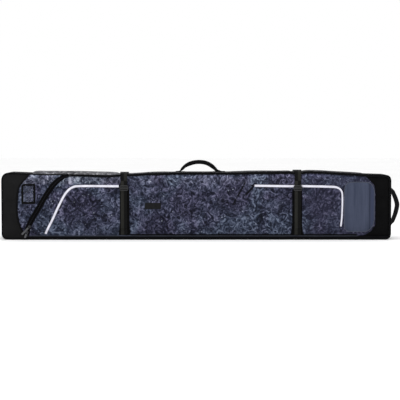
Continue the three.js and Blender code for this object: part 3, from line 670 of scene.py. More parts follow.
class Paint:
    """Small builder of node materials."""

    def __init__(self, name, roughness=0.85, metallic=0.0, sheen=0.0, specular=0.5):
        self.material = bpy.data.materials.new(name)
        self.material.use_nodes = True
        self.tree = self.material.node_tree
        self.shader = self.tree.nodes["Principled BSDF"]
        self.shader.inputs["Roughness"].default_value = roughness
        self.shader.inputs["Metallic"].default_value = metallic
        self.shader.inputs["Sheen Weight"].default_value = sheen
        self.shader.inputs["Sheen Roughness"].default_value = 0.5
        self.shader.inputs["Specular IOR Level"].default_value = specular
        self.place = self.tree.nodes.new("ShaderNodeTexCoord")
        self.bumps = []

    def node(self, kind, **values):
        made = self.tree.nodes.new("ShaderNode" + kind)
        for key, value in values.items():
            if key in made.inputs:
                made.inputs[key].default_value = value
            else:
                setattr(made, key, value)
        return made

    def feed(self, sockets, values):
        """Link sockets to other nodes' outputs, or set them to plain values."""
        for socket, value in zip(sockets, values):
            if isinstance(value, (int, float, tuple)):
                socket.default_value = value
            else:
                self.tree.links.new(value, socket)

    def coords(self, source="Object", scale=(1, 1, 1), rotation=(0, 0, 0)):
        mapping = self.node("Mapping")
        mapping.inputs["Scale"].default_value = scale
        mapping.inputs["Rotation"].default_value = rotation
        self.feed([mapping.inputs["Vector"]], [self.place.outputs[source]])
        return mapping.outputs["Vector"]

    def split(self, vector=None):
        """X, Y and Z outputs of a vector, or of the object's coordinates."""
        made = self.node("SeparateXYZ")
        self.feed(made.inputs, [vector or self.place.outputs["Object"]])
        return made.outputs

    def noise(self, scale, detail=2.0, rough=0.5, distortion=0.0, vector=None):
        made = self.node("TexNoise", Scale=scale, Detail=detail, Roughness=rough, Distortion=distortion)
        self.feed([made.inputs["Vector"]], [vector or self.coords()])
        return made.outputs["Fac"]

    def wave(self, scale, vector, distortion=0.0, direction="X"):
        made = self.node("TexWave", Scale=scale, Distortion=distortion, bands_direction=direction)
        self.feed([made.inputs["Vector"]], [vector])
        return made.outputs["Fac"]

    def voronoi(self, scale):
        made = self.node("TexVoronoi", Scale=scale, Randomness=1.0)
        self.feed([made.inputs["Vector"]], [self.coords()])
        return made.outputs["Distance"]

    def span(self, value, low, high, to_low=0.0, to_high=1.0):
        made = self.node("MapRange")
        keys = ("Value", "From Min", "From Max", "To Min", "To Max")
        self.feed([made.inputs[key] for key in keys], (value, low, high, to_low, to_high))
        return made.outputs["Result"]

    def math(self, operation, a, b=0.0):
        made = self.node("Math", operation=operation)
        self.feed(made.inputs, (a, b))
        return made.outputs[0]

    def ramp(self, value, stops):
        made = self.node("ValToRGB")
        elements = made.color_ramp.elements
        while len(elements) < len(stops):
            elements.new(0.5)
        for element, (at, rgb) in zip(elements, stops):
            element.position = at
            element.color = linear(rgb)
        self.feed(made.inputs, [value])
        return made.outputs["Color"]

    def mix(self, factor, a, b, kind="MIX"):
        made = self.node("Mix", data_type="RGBA", blend_type=kind)
        self.feed((made.inputs[0], made.inputs[6], made.inputs[7]), (factor, a, b))
        return made.outputs[2]

    def colour(self, socket):
        self.feed([self.shader.inputs["Base Color"]], [socket])

    def rough(self, socket):
        self.feed([self.shader.inputs["Roughness"]], [socket])

    def bump(self, height, distance, strength=1.0):
        self.bumps.append((height, distance, strength))

    def weave(self, pitch, distance, strength, lying=False):
        """Bump of a plain weave; lying is for cloth seen from above."""
        vector = self.coords(rotation=(math.pi / 2 if lying else 0, 0, 0))
        a = self.wave(1 / (pitch * 2), vector)
        b = self.wave(1 / (pitch * 2), vector, direction="Z")
        self.bump(self.math("MULTIPLY", a, b), distance, strength)

    def done(self):
        normal = None
        for height, distance, strength in self.bumps:
            made = self.node("Bump", Strength=strength, Distance=distance)
            self.feed([made.inputs["Height"]], [height])
            if normal is not None:
                self.feed([made.inputs["Normal"]], [normal])
            normal = made.outputs["Normal"]
        if normal is not None:
            self.feed([self.shader.inputs["Normal"]], [normal])
        return self.material


def near_stroke(p, start, end, half):
    """Mask that is 1 on a straight stroke between two X, Z points of that half width."""
    run = math.dist(start, end)
    c, s = (end[0] - start[0]) / run, (end[1] - start[1]) / run
    place = p.split()
    dx = p.math("SUBTRACT", place["X"], start[0])
    dz = p.math("SUBTRACT", place["Z"], start[1])
    along = p.math("ADD", p.math("MULTIPLY", dx, c), p.math("MULTIPLY", dz, s))
    across = p.math("SUBTRACT", p.math("MULTIPLY", dz, c), p.math("MULTIPLY", dx, s))
    band = p.span(p.math("ABSOLUTE", across), half, half * 0.5)
    ends = p.span(p.math("ABSOLUTE", p.math("SUBTRACT", along, run / 2)), run / 2, run / 2 - 0.02)
    return p.math("MULTIPLY", band, ends)


def cloudy_print(p, swirl, tones, tints, fleck, vein):
    """Colour of the print: swirls with veins, tinted in patches, with flecks and slanting dark strokes."""
    grain = p.noise(120, 3.0, 0.6, 0.8)
    cloud = p.noise(7, 3.0, 0.5, 0.6)
    level = p.math("ADD", p.span(swirl, 0.34, 0.66), p.span(cloud, 0.34, 0.66, -0.13, 0.13))
    level = p.math("ADD", level, p.span(grain, 0.3, 0.7, -0.07, 0.07))
    base = p.ramp(level, tones)
    ridge = p.math("ABSOLUTE", p.math("SUBTRACT", p.noise(30, 3.0, 0.6, 1.6), 0.5))
    veins = p.math("MULTIPLY", p.span(ridge, 0.022, 0.004), p.span(p.noise(17, 2.0), 0.42, 0.6))
    base = p.mix(p.math("MULTIPLY", veins, 0.48), base, linear(vein))
    tint = p.span(p.noise(6.5, 2.0, 0.5, 0.4), 0.40, 0.60)
    base = p.mix(0.55, base, p.ramp(tint, [(0.0, tints[0]), (1.0, tints[1])]), "OVERLAY")
    cells = p.voronoi(62)
    flecks = p.math("MULTIPLY", p.span(cells, 0.24, 0.10), p.span(p.noise(24, 2.0), 0.58, 0.66))
    base = p.mix(p.math("MULTIPLY", flecks, 0.55), base, linear(fleck))
    fine = p.math("MULTIPLY", p.span(p.voronoi(150), 0.26, 0.1), p.span(p.noise(35, 2.0), 0.50, 0.66, 0, 0.4))
    base = p.mix(fine, base, linear(vein))
    slanted = p.coords(scale=(1.9, 1, 0.5), rotation=(0, math.radians(38), 0))
    dark = p.noise(19, 4.0, 0.6, 0.5, slanted)
    return p.mix(p.span(dark, 0.58, 0.70, 0, 0.75), base, linear(tones[0][1]))


def painted_top_light(p, base, place, left, middle, right, edge_highlight_gain):
    """Painted top light: colour made lighter and warmer above the reflective lines as if lit from above, by a
    share that falls from left to right, with a painted highlight that grows towards the top edge.
    """
    share = p.math("ADD", p.span(place["X"], -0.42, -0.32, left - middle, 0.0),
                   p.span(place["X"], 0.42, 0.56, middle, right))
    above = p.math("MULTIPLY", p.span(place["Z"], 0.262, 0.276), share)
    # Painted highlight towards the top edge, where the front rolls over into the top.
    edge = p.span(place["Z"], 0.296, 0.311, 1.0, edge_highlight_gain)
    base = p.mix(1.0, base, p.math("MULTIPLY", p.math("ADD", above, 1.0), edge), "MULTIPLY")
    return p.mix(p.math("MINIMUM", above, 1.0), base, (1.0, 0.95, 0.80, 1.0), "MULTIPLY")


def print_fabric(name, tones, tints, fleck, vein, x_darkening, strokes=(), lit=None, lying=False):
    """Printed woven polyester. x_darkening holds the X where it turns darker, the share and the darker
    colour; on the top cloth it is painted shade where the top sags. lit holds the painted top light.
    """
    p = Paint(name, specular=0.10)
    swirl = p.noise(35, 4.0, 0.62, 2.0)
    base = cloudy_print(p, swirl, tones, tints, fleck, vein)
    for start, end, half in strokes:
        worn = p.span(p.noise(60, 2.0), 0.3, 0.45, 0.5, 1.0)
        mask = p.math("MULTIPLY", near_stroke(p, start, end, half), worn)
        base = p.mix(mask, base, linear((8, 8, 13)))
    place = p.split()
    low, high, share, shade = x_darkening
    base = p.mix(p.span(place["X"], low, high, 0, share), base, linear(shade))
    if lit:
        base = painted_top_light(p, base, place, *lit)
    p.colour(base)
    p.weave(0.0011, 0.0003, 0.5, lying)
    p.bump(p.noise(18, 4.0, 0.6, 0.4), 0.0035, 0.45)
    p.rough(p.span(swirl, 0.3, 0.7, 0.92, 0.74))
    return p.done()


def plain_fabric(name, rgb, pitch, spread=0.25, rough=0.85, crumple=0.5, ripstop=0.0, specular=0.12):
    """Solid-colour woven cloth with thread variation and soft creases."""
    p = Paint(name, rough, sheen=0.015, specular=specular)
    light = scaled(rgb, 1 + spread, 2)
    tone = p.noise(24, 5.0, 0.62, 0.3)
    threads = p.noise(700, 2.0, 0.6)
    cloudy = p.ramp(tone, [(0.3, scaled(rgb, 1 - spread)), (0.7, light)])
    base = p.mix(p.span(threads, 0.3, 0.7), cloudy, linear(rgb))
    if ripstop:
        lines = [p.wave(1 / ripstop / 2, p.coords(), direction=way) for way in "XZ"]
        line = p.span(p.math("MAXIMUM", *lines), 0.965, 0.995)
        base = p.mix(p.math("MULTIPLY", line, 0.4), base, linear(light))
        p.bump(line, 0.0004, 0.5)
    p.colour(base)
    p.weave(pitch, 0.00025, 0.5)
    p.bump(p.noise(22, 4.0, 0.6, 0.5), 0.003, crumple)
    p.rough(p.span(tone, 0.3, 0.7, rough + 0.05, rough - 0.1))
    return p.done()


PATCH_CREASE_X = 0.834


def slate_fabric(name):
    """Smooth slate cloth with soft upright folds whose light and shade are painted into its colour, painted
    shade in its crease and a side past the crease darkened as painted shade.
    """
    p = Paint(name, 0.8, specular=0.12)
    folds = p.noise(9, 3.0, 0.55, 0.3, p.coords(scale=(4.5, 1, 0.35)))
    threads = p.noise(640, 2.0, 0.6)
    # Painted light and shade of the folds: the colour follows the same noise as the fold bump.
    base = p.ramp(folds, [(0.28, (50, 56, 74)), (0.5, (62, 68, 86)), (0.72, (71, 77, 96))])
    base = p.mix(p.span(threads, 0.3, 0.7, 0.0, 0.3), base, linear((50, 56, 74)))
    x = p.split()["X"]
    # Painted shade in the crease.
    crease = p.span(p.math("ABSOLUTE", p.math("SUBTRACT", x, PATCH_CREASE_X)), 0.0045, 0.001)
    base = p.mix(p.math("MULTIPLY", crease, 0.65), base, linear((30, 34, 50)))
    # Painted shade over the side past the crease.
    beyond = p.span(x, PATCH_CREASE_X + 0.002, PATCH_CREASE_X + 0.008, 0, 0.4)
    base = p.mix(beyond, base, linear((48, 54, 80)))
    p.colour(base)
    p.weave(0.0012, 0.00025, 0.5)
    p.bump(folds, 0.004, 0.5)
    return p.done()


def coated_fabric(name, rgb, rough):
    """Heavy coated cloth of the stiff end, with a leathery grain."""
    p = Paint(name, rough, specular=0.08)
    tone = p.noise(14, 4.0, 0.6, 0.4)
    scuff = p.noise(60, 6.0, 0.75, 0.2, p.coords(scale=(1, 1, 0.35)))
    base = p.ramp(tone, [(0.25, scaled(rgb, 0.84)), (0.75, scaled(rgb, 1.2))])
    p.colour(p.mix(p.span(scuff, 0.62, 0.8, 0, 0.35), base, linear(scaled(rgb, 1.9))))
    p.bump(p.voronoi(620), 0.00025, 0.6)
    p.weave(0.0022, 0.00025, 0.4)
    p.bump(p.noise(11, 3.0, 0.55), 0.004, 0.5)
    p.rough(p.span(scuff, 0.3, 0.75, rough - 0.06, rough + 0.18))
    return p.done()


def webbing(name, dark, light, pitch, painted_highlight_half=None):
    """Woven strap with ribs across its run and a lighter pair of bands, or a painted highlight on its right
    half where that side catches the light.
    """
    p = Paint(name, 0.78, specular=0.08)
    uv = p.coords("UV")
    ribs = p.wave(1 / (pitch * 2), uv, distortion=0.6)
    warp = p.wave(1 / 0.0032, uv, direction="Y")
    y = p.split(uv)["Y"]
    off = p.math("ABSOLUTE", y)
    edge = p.span(off, 0.0150, 0.0172)
    weave = p.math("MULTIPLY", ribs, p.span(warp, 0, 1, 0.55, 1.0))
    base = p.ramp(weave, [(0.15, dark), (0.8, light)])
    if painted_highlight_half:
        # Painted highlight over the right half of the webbing.
        side = p.math("MULTIPLY", p.span(y, -0.001, 0.001), p.span(y, 0.0165, 0.0145))
        base = p.mix(p.math("MULTIPLY", side, p.span(weave, 0.1, 0.9, 0.6, 1.0)), base, linear(painted_highlight_half))
    else:
        bands = p.math("MULTIPLY", p.span(off, 0.006, 0.0072), p.span(off, 0.0135, 0.0125))
        base = p.mix(p.math("MULTIPLY", bands, 0.38), base, linear(scaled(light, 1.55)))
    base = p.mix(p.math("MULTIPLY", edge, 0.6), base, linear(scaled(dark, 0.6)))
    p.colour(p.mix(p.span(p.noise(30, 4.0), 0.4, 0.7, 0, 0.25), base, linear(light)))
    p.bump(weave, 0.0005, 0.8)
    p.bump(p.noise(900, 2.0), 0.0001, 0.6)
    return p.done()


def reflective(name):
    """Silver-white reflective tape with its bead grain and a dark band along both edges, partly its stitched
    selvedge and partly painted shade along the tape.
    """
    p = Paint(name, 0.45, specular=0.4)
    off = p.math("ABSOLUTE", p.split(p.coords("UV"))["Y"])
    bead = p.voronoi(1500)
    base = p.ramp(p.noise(40, 4.0, 0.6), [(0.3, (204, 203, 216)), (0.7, (232, 231, 243))])
    base = p.mix(p.span(bead, 0.2, 0.6, 0, 0.18), base, linear((196, 196, 206)))
    # Dark edge band: partly selvedge, partly painted shade along the raised tape.
    p.colour(p.mix(p.span(off, 0.0049, 0.0054), base, linear((12, 12, 15))))
    p.bump(bead, 0.0001, 0.4)
    return p.done()


def moulded(name, rgb, rough=0.42, grain=900, specular=0.4):
    """Moulded plastic with a fine texture and handling marks."""
    p = Paint(name, rough, specular=specular)
    tone = p.noise(35, 4.0, 0.6)
    marks = p.noise(120, 6.0, 0.8, 0.3, p.coords(scale=(1, 3, 0.6)))
    base = p.ramp(tone, [(0.3, scaled(rgb, 0.88)), (0.7, scaled(rgb, 1.14))])
    p.colour(p.mix(p.span(marks, 0.62, 0.78, 0, 0.3), base, linear(scaled(rgb, 1.8, 6))))
    p.bump(p.noise(grain, 3.0, 0.6), 0.00012, 0.6)
    p.rough(p.span(marks, 0.35, 0.75, rough - 0.06, rough + 0.2))
    return p.done()


def steel(name, rgb, rough=0.32):
    """Cast metal with fine scratches."""
    p = Paint(name, rough, metallic=0.9)
    scratch = p.noise(420, 5.0, 0.7, 0.1, p.coords(scale=(1, 1, 0.12)))
    base = p.ramp(p.noise(60, 4.0), [(0.3, scaled(rgb, 0.8)), (0.7, rgb)])
    p.colour(p.mix(p.span(scratch, 0.6, 0.75, 0, 0.4), base, linear(scaled(rgb, 1.35))))
    p.bump(scratch, 0.0001, 0.5)
    p.rough(p.span(scratch, 0.3, 0.7, rough - 0.08, rough + 0.2))
    return p.done()


def film(name):
    """Clear flexible window over the print, slightly rippled and dusty."""
    p = Paint(name, 0.22, specular=0.3)
    p.shader.inputs["Alpha"].default_value = 0.12
    haze = p.noise(45, 5.0, 0.65, 0.6)
    p.colour(p.ramp(haze, [(0.3, (66, 70, 84)), (0.7, (104, 108, 124))]))
    p.bump(p.noise(18, 2.0, 0.5, 0.8), 0.002, 0.4)
    p.rough(p.span(haze, 0.35, 0.7, 0.1, 0.34))
    return p.done()


def zip_material(name, rgb, coil_half):
    """Twill zip tape with teeth within coil_half of its middle line, with a painted highlight on the teeth
    and painted shade between them.
    """
    p = Paint(name, 0.75, specular=0.06)
    uv = p.coords("UV")
    across = p.math("ABSOLUTE", p.split(uv)["Y"])
    on_coil = p.span(across, coil_half, coil_half * 0.82)
    teeth = p.wave(1 / 0.0056, uv)
    twill = p.wave(1 / 0.0028, p.coords("UV", rotation=(0, 0, 0.9)))
    base = p.ramp(twill, [(0.2, scaled(rgb, 0.8)), (0.8, scaled(rgb, 1.15))])
    # Painted highlight on the teeth's tops and painted shade in the gaps between them.
    coil = p.ramp(teeth, [(0.2, scaled(rgb, 0.45)), (0.75, scaled(rgb, 2.1, 4))])
    p.colour(p.mix(on_coil, base, coil))
    p.bump(p.math("MULTIPLY", teeth, on_coil), 0.0014, 0.9)
    p.bump(twill, 0.0002, 0.5)
    p.rough(p.span(on_coil, 0, 1, 0.85, 0.42))
    return p.done()


FRONT_TONES = [
    (0.0, (15, 16, 25)), (0.34, (37, 40, 54)), (0.54, (59, 63, 79)), (0.74, (85, 89, 107)),
    (1.0, (128, 133, 151)),
]
# Tones of the top cloth: the same print in light greys, as painted top light on the top that faces the
# overhead light.
TOP_PAINTED_LIGHT_TONES = [
    (0.0, (52, 52, 56)), (0.34, (78, 78, 82)), (0.54, (104, 104, 108)), (0.74, (134, 134, 138)),
    (1.0, (180, 180, 184)),
]
POCKET_STROKES = [
    ((0.240, 0.292), (0.168, 0.160), 0.0052), ((0.282, 0.270), (0.224, 0.205), 0.0068),
    ((0.290, 0.264), (0.246, 0.262), 0.0060),
]
# Front print, with painted top light above the reflective lines, strongest left of the left strap where the
# top swells.
M_PRINT = print_fabric(
    "printed_cloth", FRONT_TONES, [(138, 118, 146), (112, 130, 142)], (176, 184, 202), (118, 124, 146),
    (0.47, 0.56, 0.32, (42, 42, 60)), POCKET_STROKES, lit=(1.25, 0.40, 0.08, 1.7),
)
# Top cloth: painted top light in its light grey tones, and painted shade turning it dark right of X -0.34,
# where the top sags.
M_PRINT_TOP_PAINTED_LIGHT = print_fabric(
    "printed_cloth_top_painted_light", TOP_PAINTED_LIGHT_TONES, [(124, 124, 130), (128, 128, 128)], (196, 196, 200), (160, 160, 166),
    (-0.34, -0.26, 0.72, (16, 16, 19)), lying=True,
)
M_BLACK = plain_fabric("black_cloth", (9, 9, 10), 0.0013, specular=0.035)
M_RIM = plain_fabric("rim_cloth", (11, 11, 14), 0.0012, specular=0.05)
M_CAP = coated_fabric("end_cap_cloth", (20, 20, 21), 0.7)
M_SLATE = slate_fabric("slate_cloth")
M_LINING = plain_fabric("lining_cloth", (58, 60, 66), 0.0009, 0.08, 0.75, crumple=0.8, ripstop=0.006)
# Strap webbing with a painted highlight on its right half.
M_WEB = webbing("strap_webbing", (8, 8, 8), (20, 20, 20), 0.0024, painted_highlight_half=(45, 45, 42))
M_BACKING = plain_fabric("strap_backing_cloth", (7, 7, 8), 0.0013, specular=0.035)
M_HANDLE = webbing("handle_webbing", (5, 5, 6), (13, 13, 15), 0.002)
M_PIPE = plain_fabric("piping_cloth", (8, 8, 10), 0.0008, rough=0.75, crumple=0.1, specular=0.06)
M_GREY_PIPE = plain_fabric("grey_piping_cloth", (78, 82, 94), 0.0008, 0.15, 0.6, crumple=0.1)
M_REFLECT = reflective("reflective_tape")
M_PLASTIC = moulded("buckle_plastic", (17, 17, 19))
M_HOUSING = moulded("housing_plastic", (24, 24, 26), 0.55, 500)
M_HUB = moulded("hub_plastic", (60, 61, 66), 0.4)
M_TYRE = moulded("tyre_rubber", (23, 23, 25), 0.78, 420)
M_RUBBER = moulded("rubber_tab", (17, 17, 19), 0.7, 700, specular=0.15)
# The pulls' mid grey is partly their own colour and partly painted highlight along their edges.
M_PULL = moulded("pull_rubber", (76, 77, 80), 0.6, 700, specular=0.25)
M_STEEL = steel("slider_steel", (58, 59, 63))
M_AXLE = steel("axle_steel", (150, 152, 158), 0.25)
M_FILM = film("window_film")
M_THREAD = plain_fabric("thread_dark", (34, 34, 38), 0.0006, 0.2, 0.7, crumple=0.0)
M_ZIP = zip_material("zip_tape", (6, 6, 8), 0.0)
M_COIL = zip_material("zip_coil", (11, 11, 13), 0.02)


# ---------------------------------------------------------------- front panels
SEAM_GAP, ZIP_GAP = 0.0002, 0.0006


def piece_on(body, obj, *nodes, slot, fill=None):
    """Piece that rides on a body and stands for some CAD nodes; fill is not used."""
    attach(obj, body)
    if nodes:
        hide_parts(*nodes)
    return obj


def diagonal_edge(shift):
    return sideways(rounded(ZIP_DIAGONAL, 2), shift)


def cap_edge(shift):
    return sideways(rounded(CAP_EDGE, 2), shift)


def zip_path(shift=0.0):
    """The zip's line up the diagonal, along the top and down the right end, moved to its left by shift."""
    around = outline_run(ZIP_INSET - shift,
                         lambda x, z: (x > 0 and z > LID_BOTTOM) or (x > -0.61 and z > 0.2))
    return np.vstack([diagonal_edge(shift)[:-1], around[::-1], [[around[0][0], LID_BOTTOM]]])


def lid_rings():
    """Outlines of the lid's printed panel and of its black end."""
    edge = zip_path(-ZIP_GAP)
    edge = edge[edge[:, 0] > GORE_TOP_X]
    corner = np.argmin(np.abs(edge[:, 0] - END_PANEL_EDGE[-1, 0]) + (edge[:, 1] < 0.28))
    gore = sideways(GORE_EDGE, -2 * SEAM_GAP)
    gore[0, 1] = LID_BOTTOM
    panel = np.vstack([gore, edge[:corner], sideways(END_PANEL_EDGE, SEAM_GAP)[::-1]])
    panel[-1, 1] = LID_BOTTOM
    tail = np.vstack([sideways(END_PANEL_EDGE, -SEAM_GAP), edge[corner + 1:]])
    tail[0, 1] = LID_BOTTOM
    return panel, tail


def cap_ring():
    left = outline_run(SEAM_INSET, lambda x, z: x < -0.826 and (z < 0.1 or z > 0.2))
    high = left[:, 1] > 0.1
    return np.vstack([cap_edge(SEAM_GAP), left[high], left[~high]])


def left_panel_ring():
    top = outline_run(SEAM_INSET, lambda x, z: -0.807 < x < LID_TOP_LEFT_X - 0.0001 and z > 0.2)
    foot = diagonal_edge(0.0003)
    foot = foot[foot[:, 1] > LID_BOTTOM]
    corner = [(LID_TOP_LEFT_X, 0.3074), (LID_TOP_LEFT_X, top_at(LID_TOP_LEFT_X) - SEAM_INSET)]
    edge = cap_edge(-SEAM_GAP)
    return np.vstack([foot, corner, top, edge[edge[:, 1] > LID_BOTTOM][::-1]])


def gore_ring():
    diagonal = diagonal_edge(-ZIP_GAP)
    diagonal = diagonal[(diagonal[:, 1] > 0.0185) & (diagonal[:, 0] < GORE_TOP_X - 0.0005)]
    return np.vstack([sideways(GORE_EDGE, 2 * SEAM_GAP), diagonal[::-1]])


def bottom_ring():
    top = 0.017
    low = outline_run(SEAM_INSET, lambda x, z: x > -0.8265 and z < top)
    return np.vstack([[(-0.8287, top), (-0.8262, SEAM_INSET)], low, [(low[-1][0] + 0.0006, top)]])


LID_RING, END_RING = lid_rings()
piece_on("lid", front_slab("lid_front", LID_RING, M_PRINT, seam=0.0036), "lid_panel",
         slot="printed_fabric", fill=0.55)
piece_on("lid", front_slab("lid_end", END_RING, M_BLACK), "lid_end_panel", slot="black_fabric", fill=0.5)
piece_on("bag_body", front_slab("left_front", left_panel_ring(), M_PRINT), "front_left_panel",
         slot="printed_fabric", fill=0.55)
piece_on("bag_body", front_slab("corner_gore", gore_ring(), M_PRINT, seam=0.002), "front_gore",
         slot="printed_fabric", fill=0.4)
piece_on("bag_body", front_slab("end_cap", cap_ring(), M_CAP), "left_end_cap", slot="charcoal_fabric",
         fill=0.5)
piece_on("bag_body", front_slab("bottom_edge", bottom_ring(), M_RIM, seam=0.0012, reach=0.003), "bottom_rim",
         slot="black_fabric", fill=0.4)

# ---------------------------------------------------------------- back panel, with the wheel corner cut out
HOUSING_X, HOUSING_Z = -0.838, (0.047, 0.279)
WHEEL_X, WHEEL_Y, WHEEL_Z = -0.892, 0.072, (0.072, 0.254)
WELL_Y = 0.028
BACK_Y, BACK_LINING_Y = 0.085, 0.0755


def back_ring():
    ring = outline(SEAM_INSET)
    in_corner = (ring[:, 0] < HOUSING_X) & (ring[:, 1] > HOUSING_Z[0]) & (ring[:, 1] < HOUSING_Z[1])
    order = ring[~in_corner]
    first = np.argmax((order[:, 0] < -0.9) & (order[:, 1] < HOUSING_Z[0]))
    x0, x1 = LEFT_X + SEAM_INSET, HOUSING_X + 0.0006
    z0, z1 = HOUSING_Z[0] - 0.0006, HOUSING_Z[1] + 0.0006
    return np.vstack([np.roll(order, -first, 0), [(x0, z1), (x1, z1), (x1, z0), (x0, z0)]])


def back_y(x, z):
    """Y of the padded back at X, Z."""
    height = smooth(0.0, 0.075, z) * smooth(0.0, 0.075, top_at(x) - z)
    off_wheels = smooth(-0.80, -0.66, x)
    swell = 0.0045 * height * off_wheels * smooth(0.935, 0.86, x) * (0.1 + 0.9 * off_strap(x, 0.03))
    cloth = 0.8 * relief_at(BACK_RELIEF, x, z) * smooth(-0.826, -0.80, x)
    return BACK_Y + swell + 0.0006 * wobble(-x, z) * height * off_wheels + cloth


def back_outer(p, near):
    x, z = -p[:, 0], p[:, 1]
    return np.stack([x, back_y(x, z) - 0.003 * bell(near, 0.007), z], 1)


def back_inner(p, near):
    return laid(p * (-1, 1), np.full(len(p), BACK_LINING_Y))


mirrored = back_ring() * (-1, 1)
piece_on("bag_body", slab("back", [anticlockwise(mirrored)], back_outer, back_inner, M_PRINT, M_LINING),
         "back_panel", slot="printed_fabric", fill=0.5)

# ---------------------------------------------------------------- walls: run along the outline, and depth
WALL_Y = 0.0788
WALL_THICK = 0.011
WALL_OVERLAP = 20
RIM = outline(0.0)
RIM_ON = np.vstack([RIM, RIM[:WALL_OVERLAP]])
RIM_RUN = run_along(RIM_ON)
RIM_OUT = -left_of(ring_tangents(RIM))
RIM_OUT = np.vstack([RIM_OUT, RIM_OUT[:WALL_OVERLAP]])


def wall_at(s, y, out):
    """3D points at run s and depth y on the outline, moved outwards."""
    x, z = [np.interp(s, RIM_RUN, RIM_ON[:, k]) for k in (0, 1)]
    nx, nz = [np.interp(s, RIM_RUN, RIM_OUT[:, k]) for k in (0, 1)]
    return np.stack([x + nx * out, y, z + nz * out], 1)


def run_at(x, z):
    """Run of the outline point nearest to X, Z."""
    return RIM_RUN[np.argmin((RIM[:, 0] - x) ** 2 + (RIM[:, 1] - z) ** 2)]


def across_wall(y):
    return np.clip(np.cos(math.pi * y / 0.162), 0, 1)


def top_bulge(x, y):
    """Rise of the top: a full swell left of the left strap and a slight one elsewhere."""
    big = 0.0128 * smooth(-0.89, -0.755, x) * smooth(-0.368, -0.392, x)
    rest = 0.0035 * smooth(-0.30, -0.2, x) * smooth(0.93, 0.8, x)
    handle = 1 - 0.85 * smooth(-0.16, -0.10, x) * smooth(0.19, 0.14, x)
    return (big + rest + 0.0009 * wobble(x, y + 0.4)) * across_wall(y) ** 0.8 * off_strap(x, 0.036) * handle


def end_bulge(z, y):
    return 0.004 * across_wall(y) * smooth(0.02, 0.08, z) * smooth(0.31, 0.24, z)


def wall(name, field, bulge, material):
    """Lined wall over a field of run and depth, swollen by bulge(x, y, z)."""
    def outer_at(p, near):
        x, y, z = wall_at(p[:, 0], -p[:, 1], 0.0).T
        return wall_at(p[:, 0], -p[:, 1], bulge(x, y, z) - 0.0022 * bell(near, 0.006))

    def inner_at(p, near):
        return wall_at(p[:, 0], -p[:, 1], -WALL_THICK)

    ring = anticlockwise(np.asarray(field)[::-1] * (1, -1))
    return slab(name, [ring], outer_at, inner_at, material, M_LINING)


S_LOW_LEFT = run_at(LEFT_X + CORNER, 0.0)
S_LOW_RIGHT = run_at(RIGHT_X - CORNER, 0.0)
S_TOP_RIGHT = run_at(0.815, 0.320)
S_TOP_LEFT = run_at(-0.795, 0.317)
S_END = RIM_RUN[len(RIM)]
TOP_LINE_LEFT = top_at(TOP_LINE[0, 0])


def left_wall_ring():
    """Field of the end wall, from the top over the corner to the bottom, notched for the two wheel wells."""
    high = TOP_LINE_LEFT - CORNER_TOP_LEFT

    def run(z):
        return float(np.interp(z, (CORNER, high), (S_END, run_at(LEFT_X, high))))

    notch, back = WELL_Y - 0.0006, 0.0744
    points = [(S_TOP_LEFT, -WALL_Y), (S_TOP_LEFT, WALL_Y)]
    points += [(run(HOUSING_Z[1]), WALL_Y), (run(HOUSING_Z[1]), back)]
    for z in WHEEL_Z[::-1]:
        above, below = run(z + 0.0256), run(z - 0.0256)
        points += [(above, back), (above, notch), (below, notch), (below, back)]
    foot = S_END + S_LOW_LEFT
    points += [(run(HOUSING_Z[0]), back), (run(HOUSING_Z[0]), WALL_Y), (foot, WALL_Y), (foot, -WALL_Y)]
    return np.array(points)


for name, field, bulge, material, node, slot, soft in (
    ("top_wall", rectangle(S_TOP_RIGHT, -WALL_Y, S_TOP_LEFT, WALL_Y), lambda x, y, z: top_bulge(x, y),
     M_PRINT_TOP_PAINTED_LIGHT, "top_gusset", "printed_gusset", 0.6),
    ("bottom_wall", rectangle(S_LOW_LEFT, -WALL_Y, S_LOW_RIGHT, WALL_Y), lambda x, y, z: 0.0,
     M_BLACK, "bottom_gusset", "black_fabric", 0.4),
    ("right_wall", rectangle(S_LOW_RIGHT, -WALL_Y, S_TOP_RIGHT, WALL_Y), lambda x, y, z: end_bulge(z, y),
     M_BLACK, "right_end_wall", "black_fabric", 0.4),
    ("left_wall", left_wall_ring(), lambda x, y, z: 1.3 * end_bulge(z, y) * (x < -0.92),
     M_CAP, "left_end_wall", "charcoal_fabric", 0.4),
):
    piece_on("bag_body", wall(name, field, bulge, material), node, slot=slot, fill=soft)


# ---------------------------------------------------------------- piping
CORD_RADIUS, CORD_Y = 0.0031, 0.0818


def ring_path(y, keep=None):
    """Path of the edge piping at that depth, or the open stretch of it where keep(x, z) holds."""
    ring = closed_densify(outline(CORD_RADIUS), 0.012)
    if keep is not None:
        kept = np.array([keep(*p) for p in ring])
        first = np.argmin(kept)
        ring = np.roll(ring, -first, 0)[np.roll(kept, -first)]
    return laid(ring, np.full(len(ring), y))


def off_housing(x, z):
    return x > -0.937 or z < HOUSING_Z[0] - 0.002 or z > HOUSING_Z[1] + 0.002


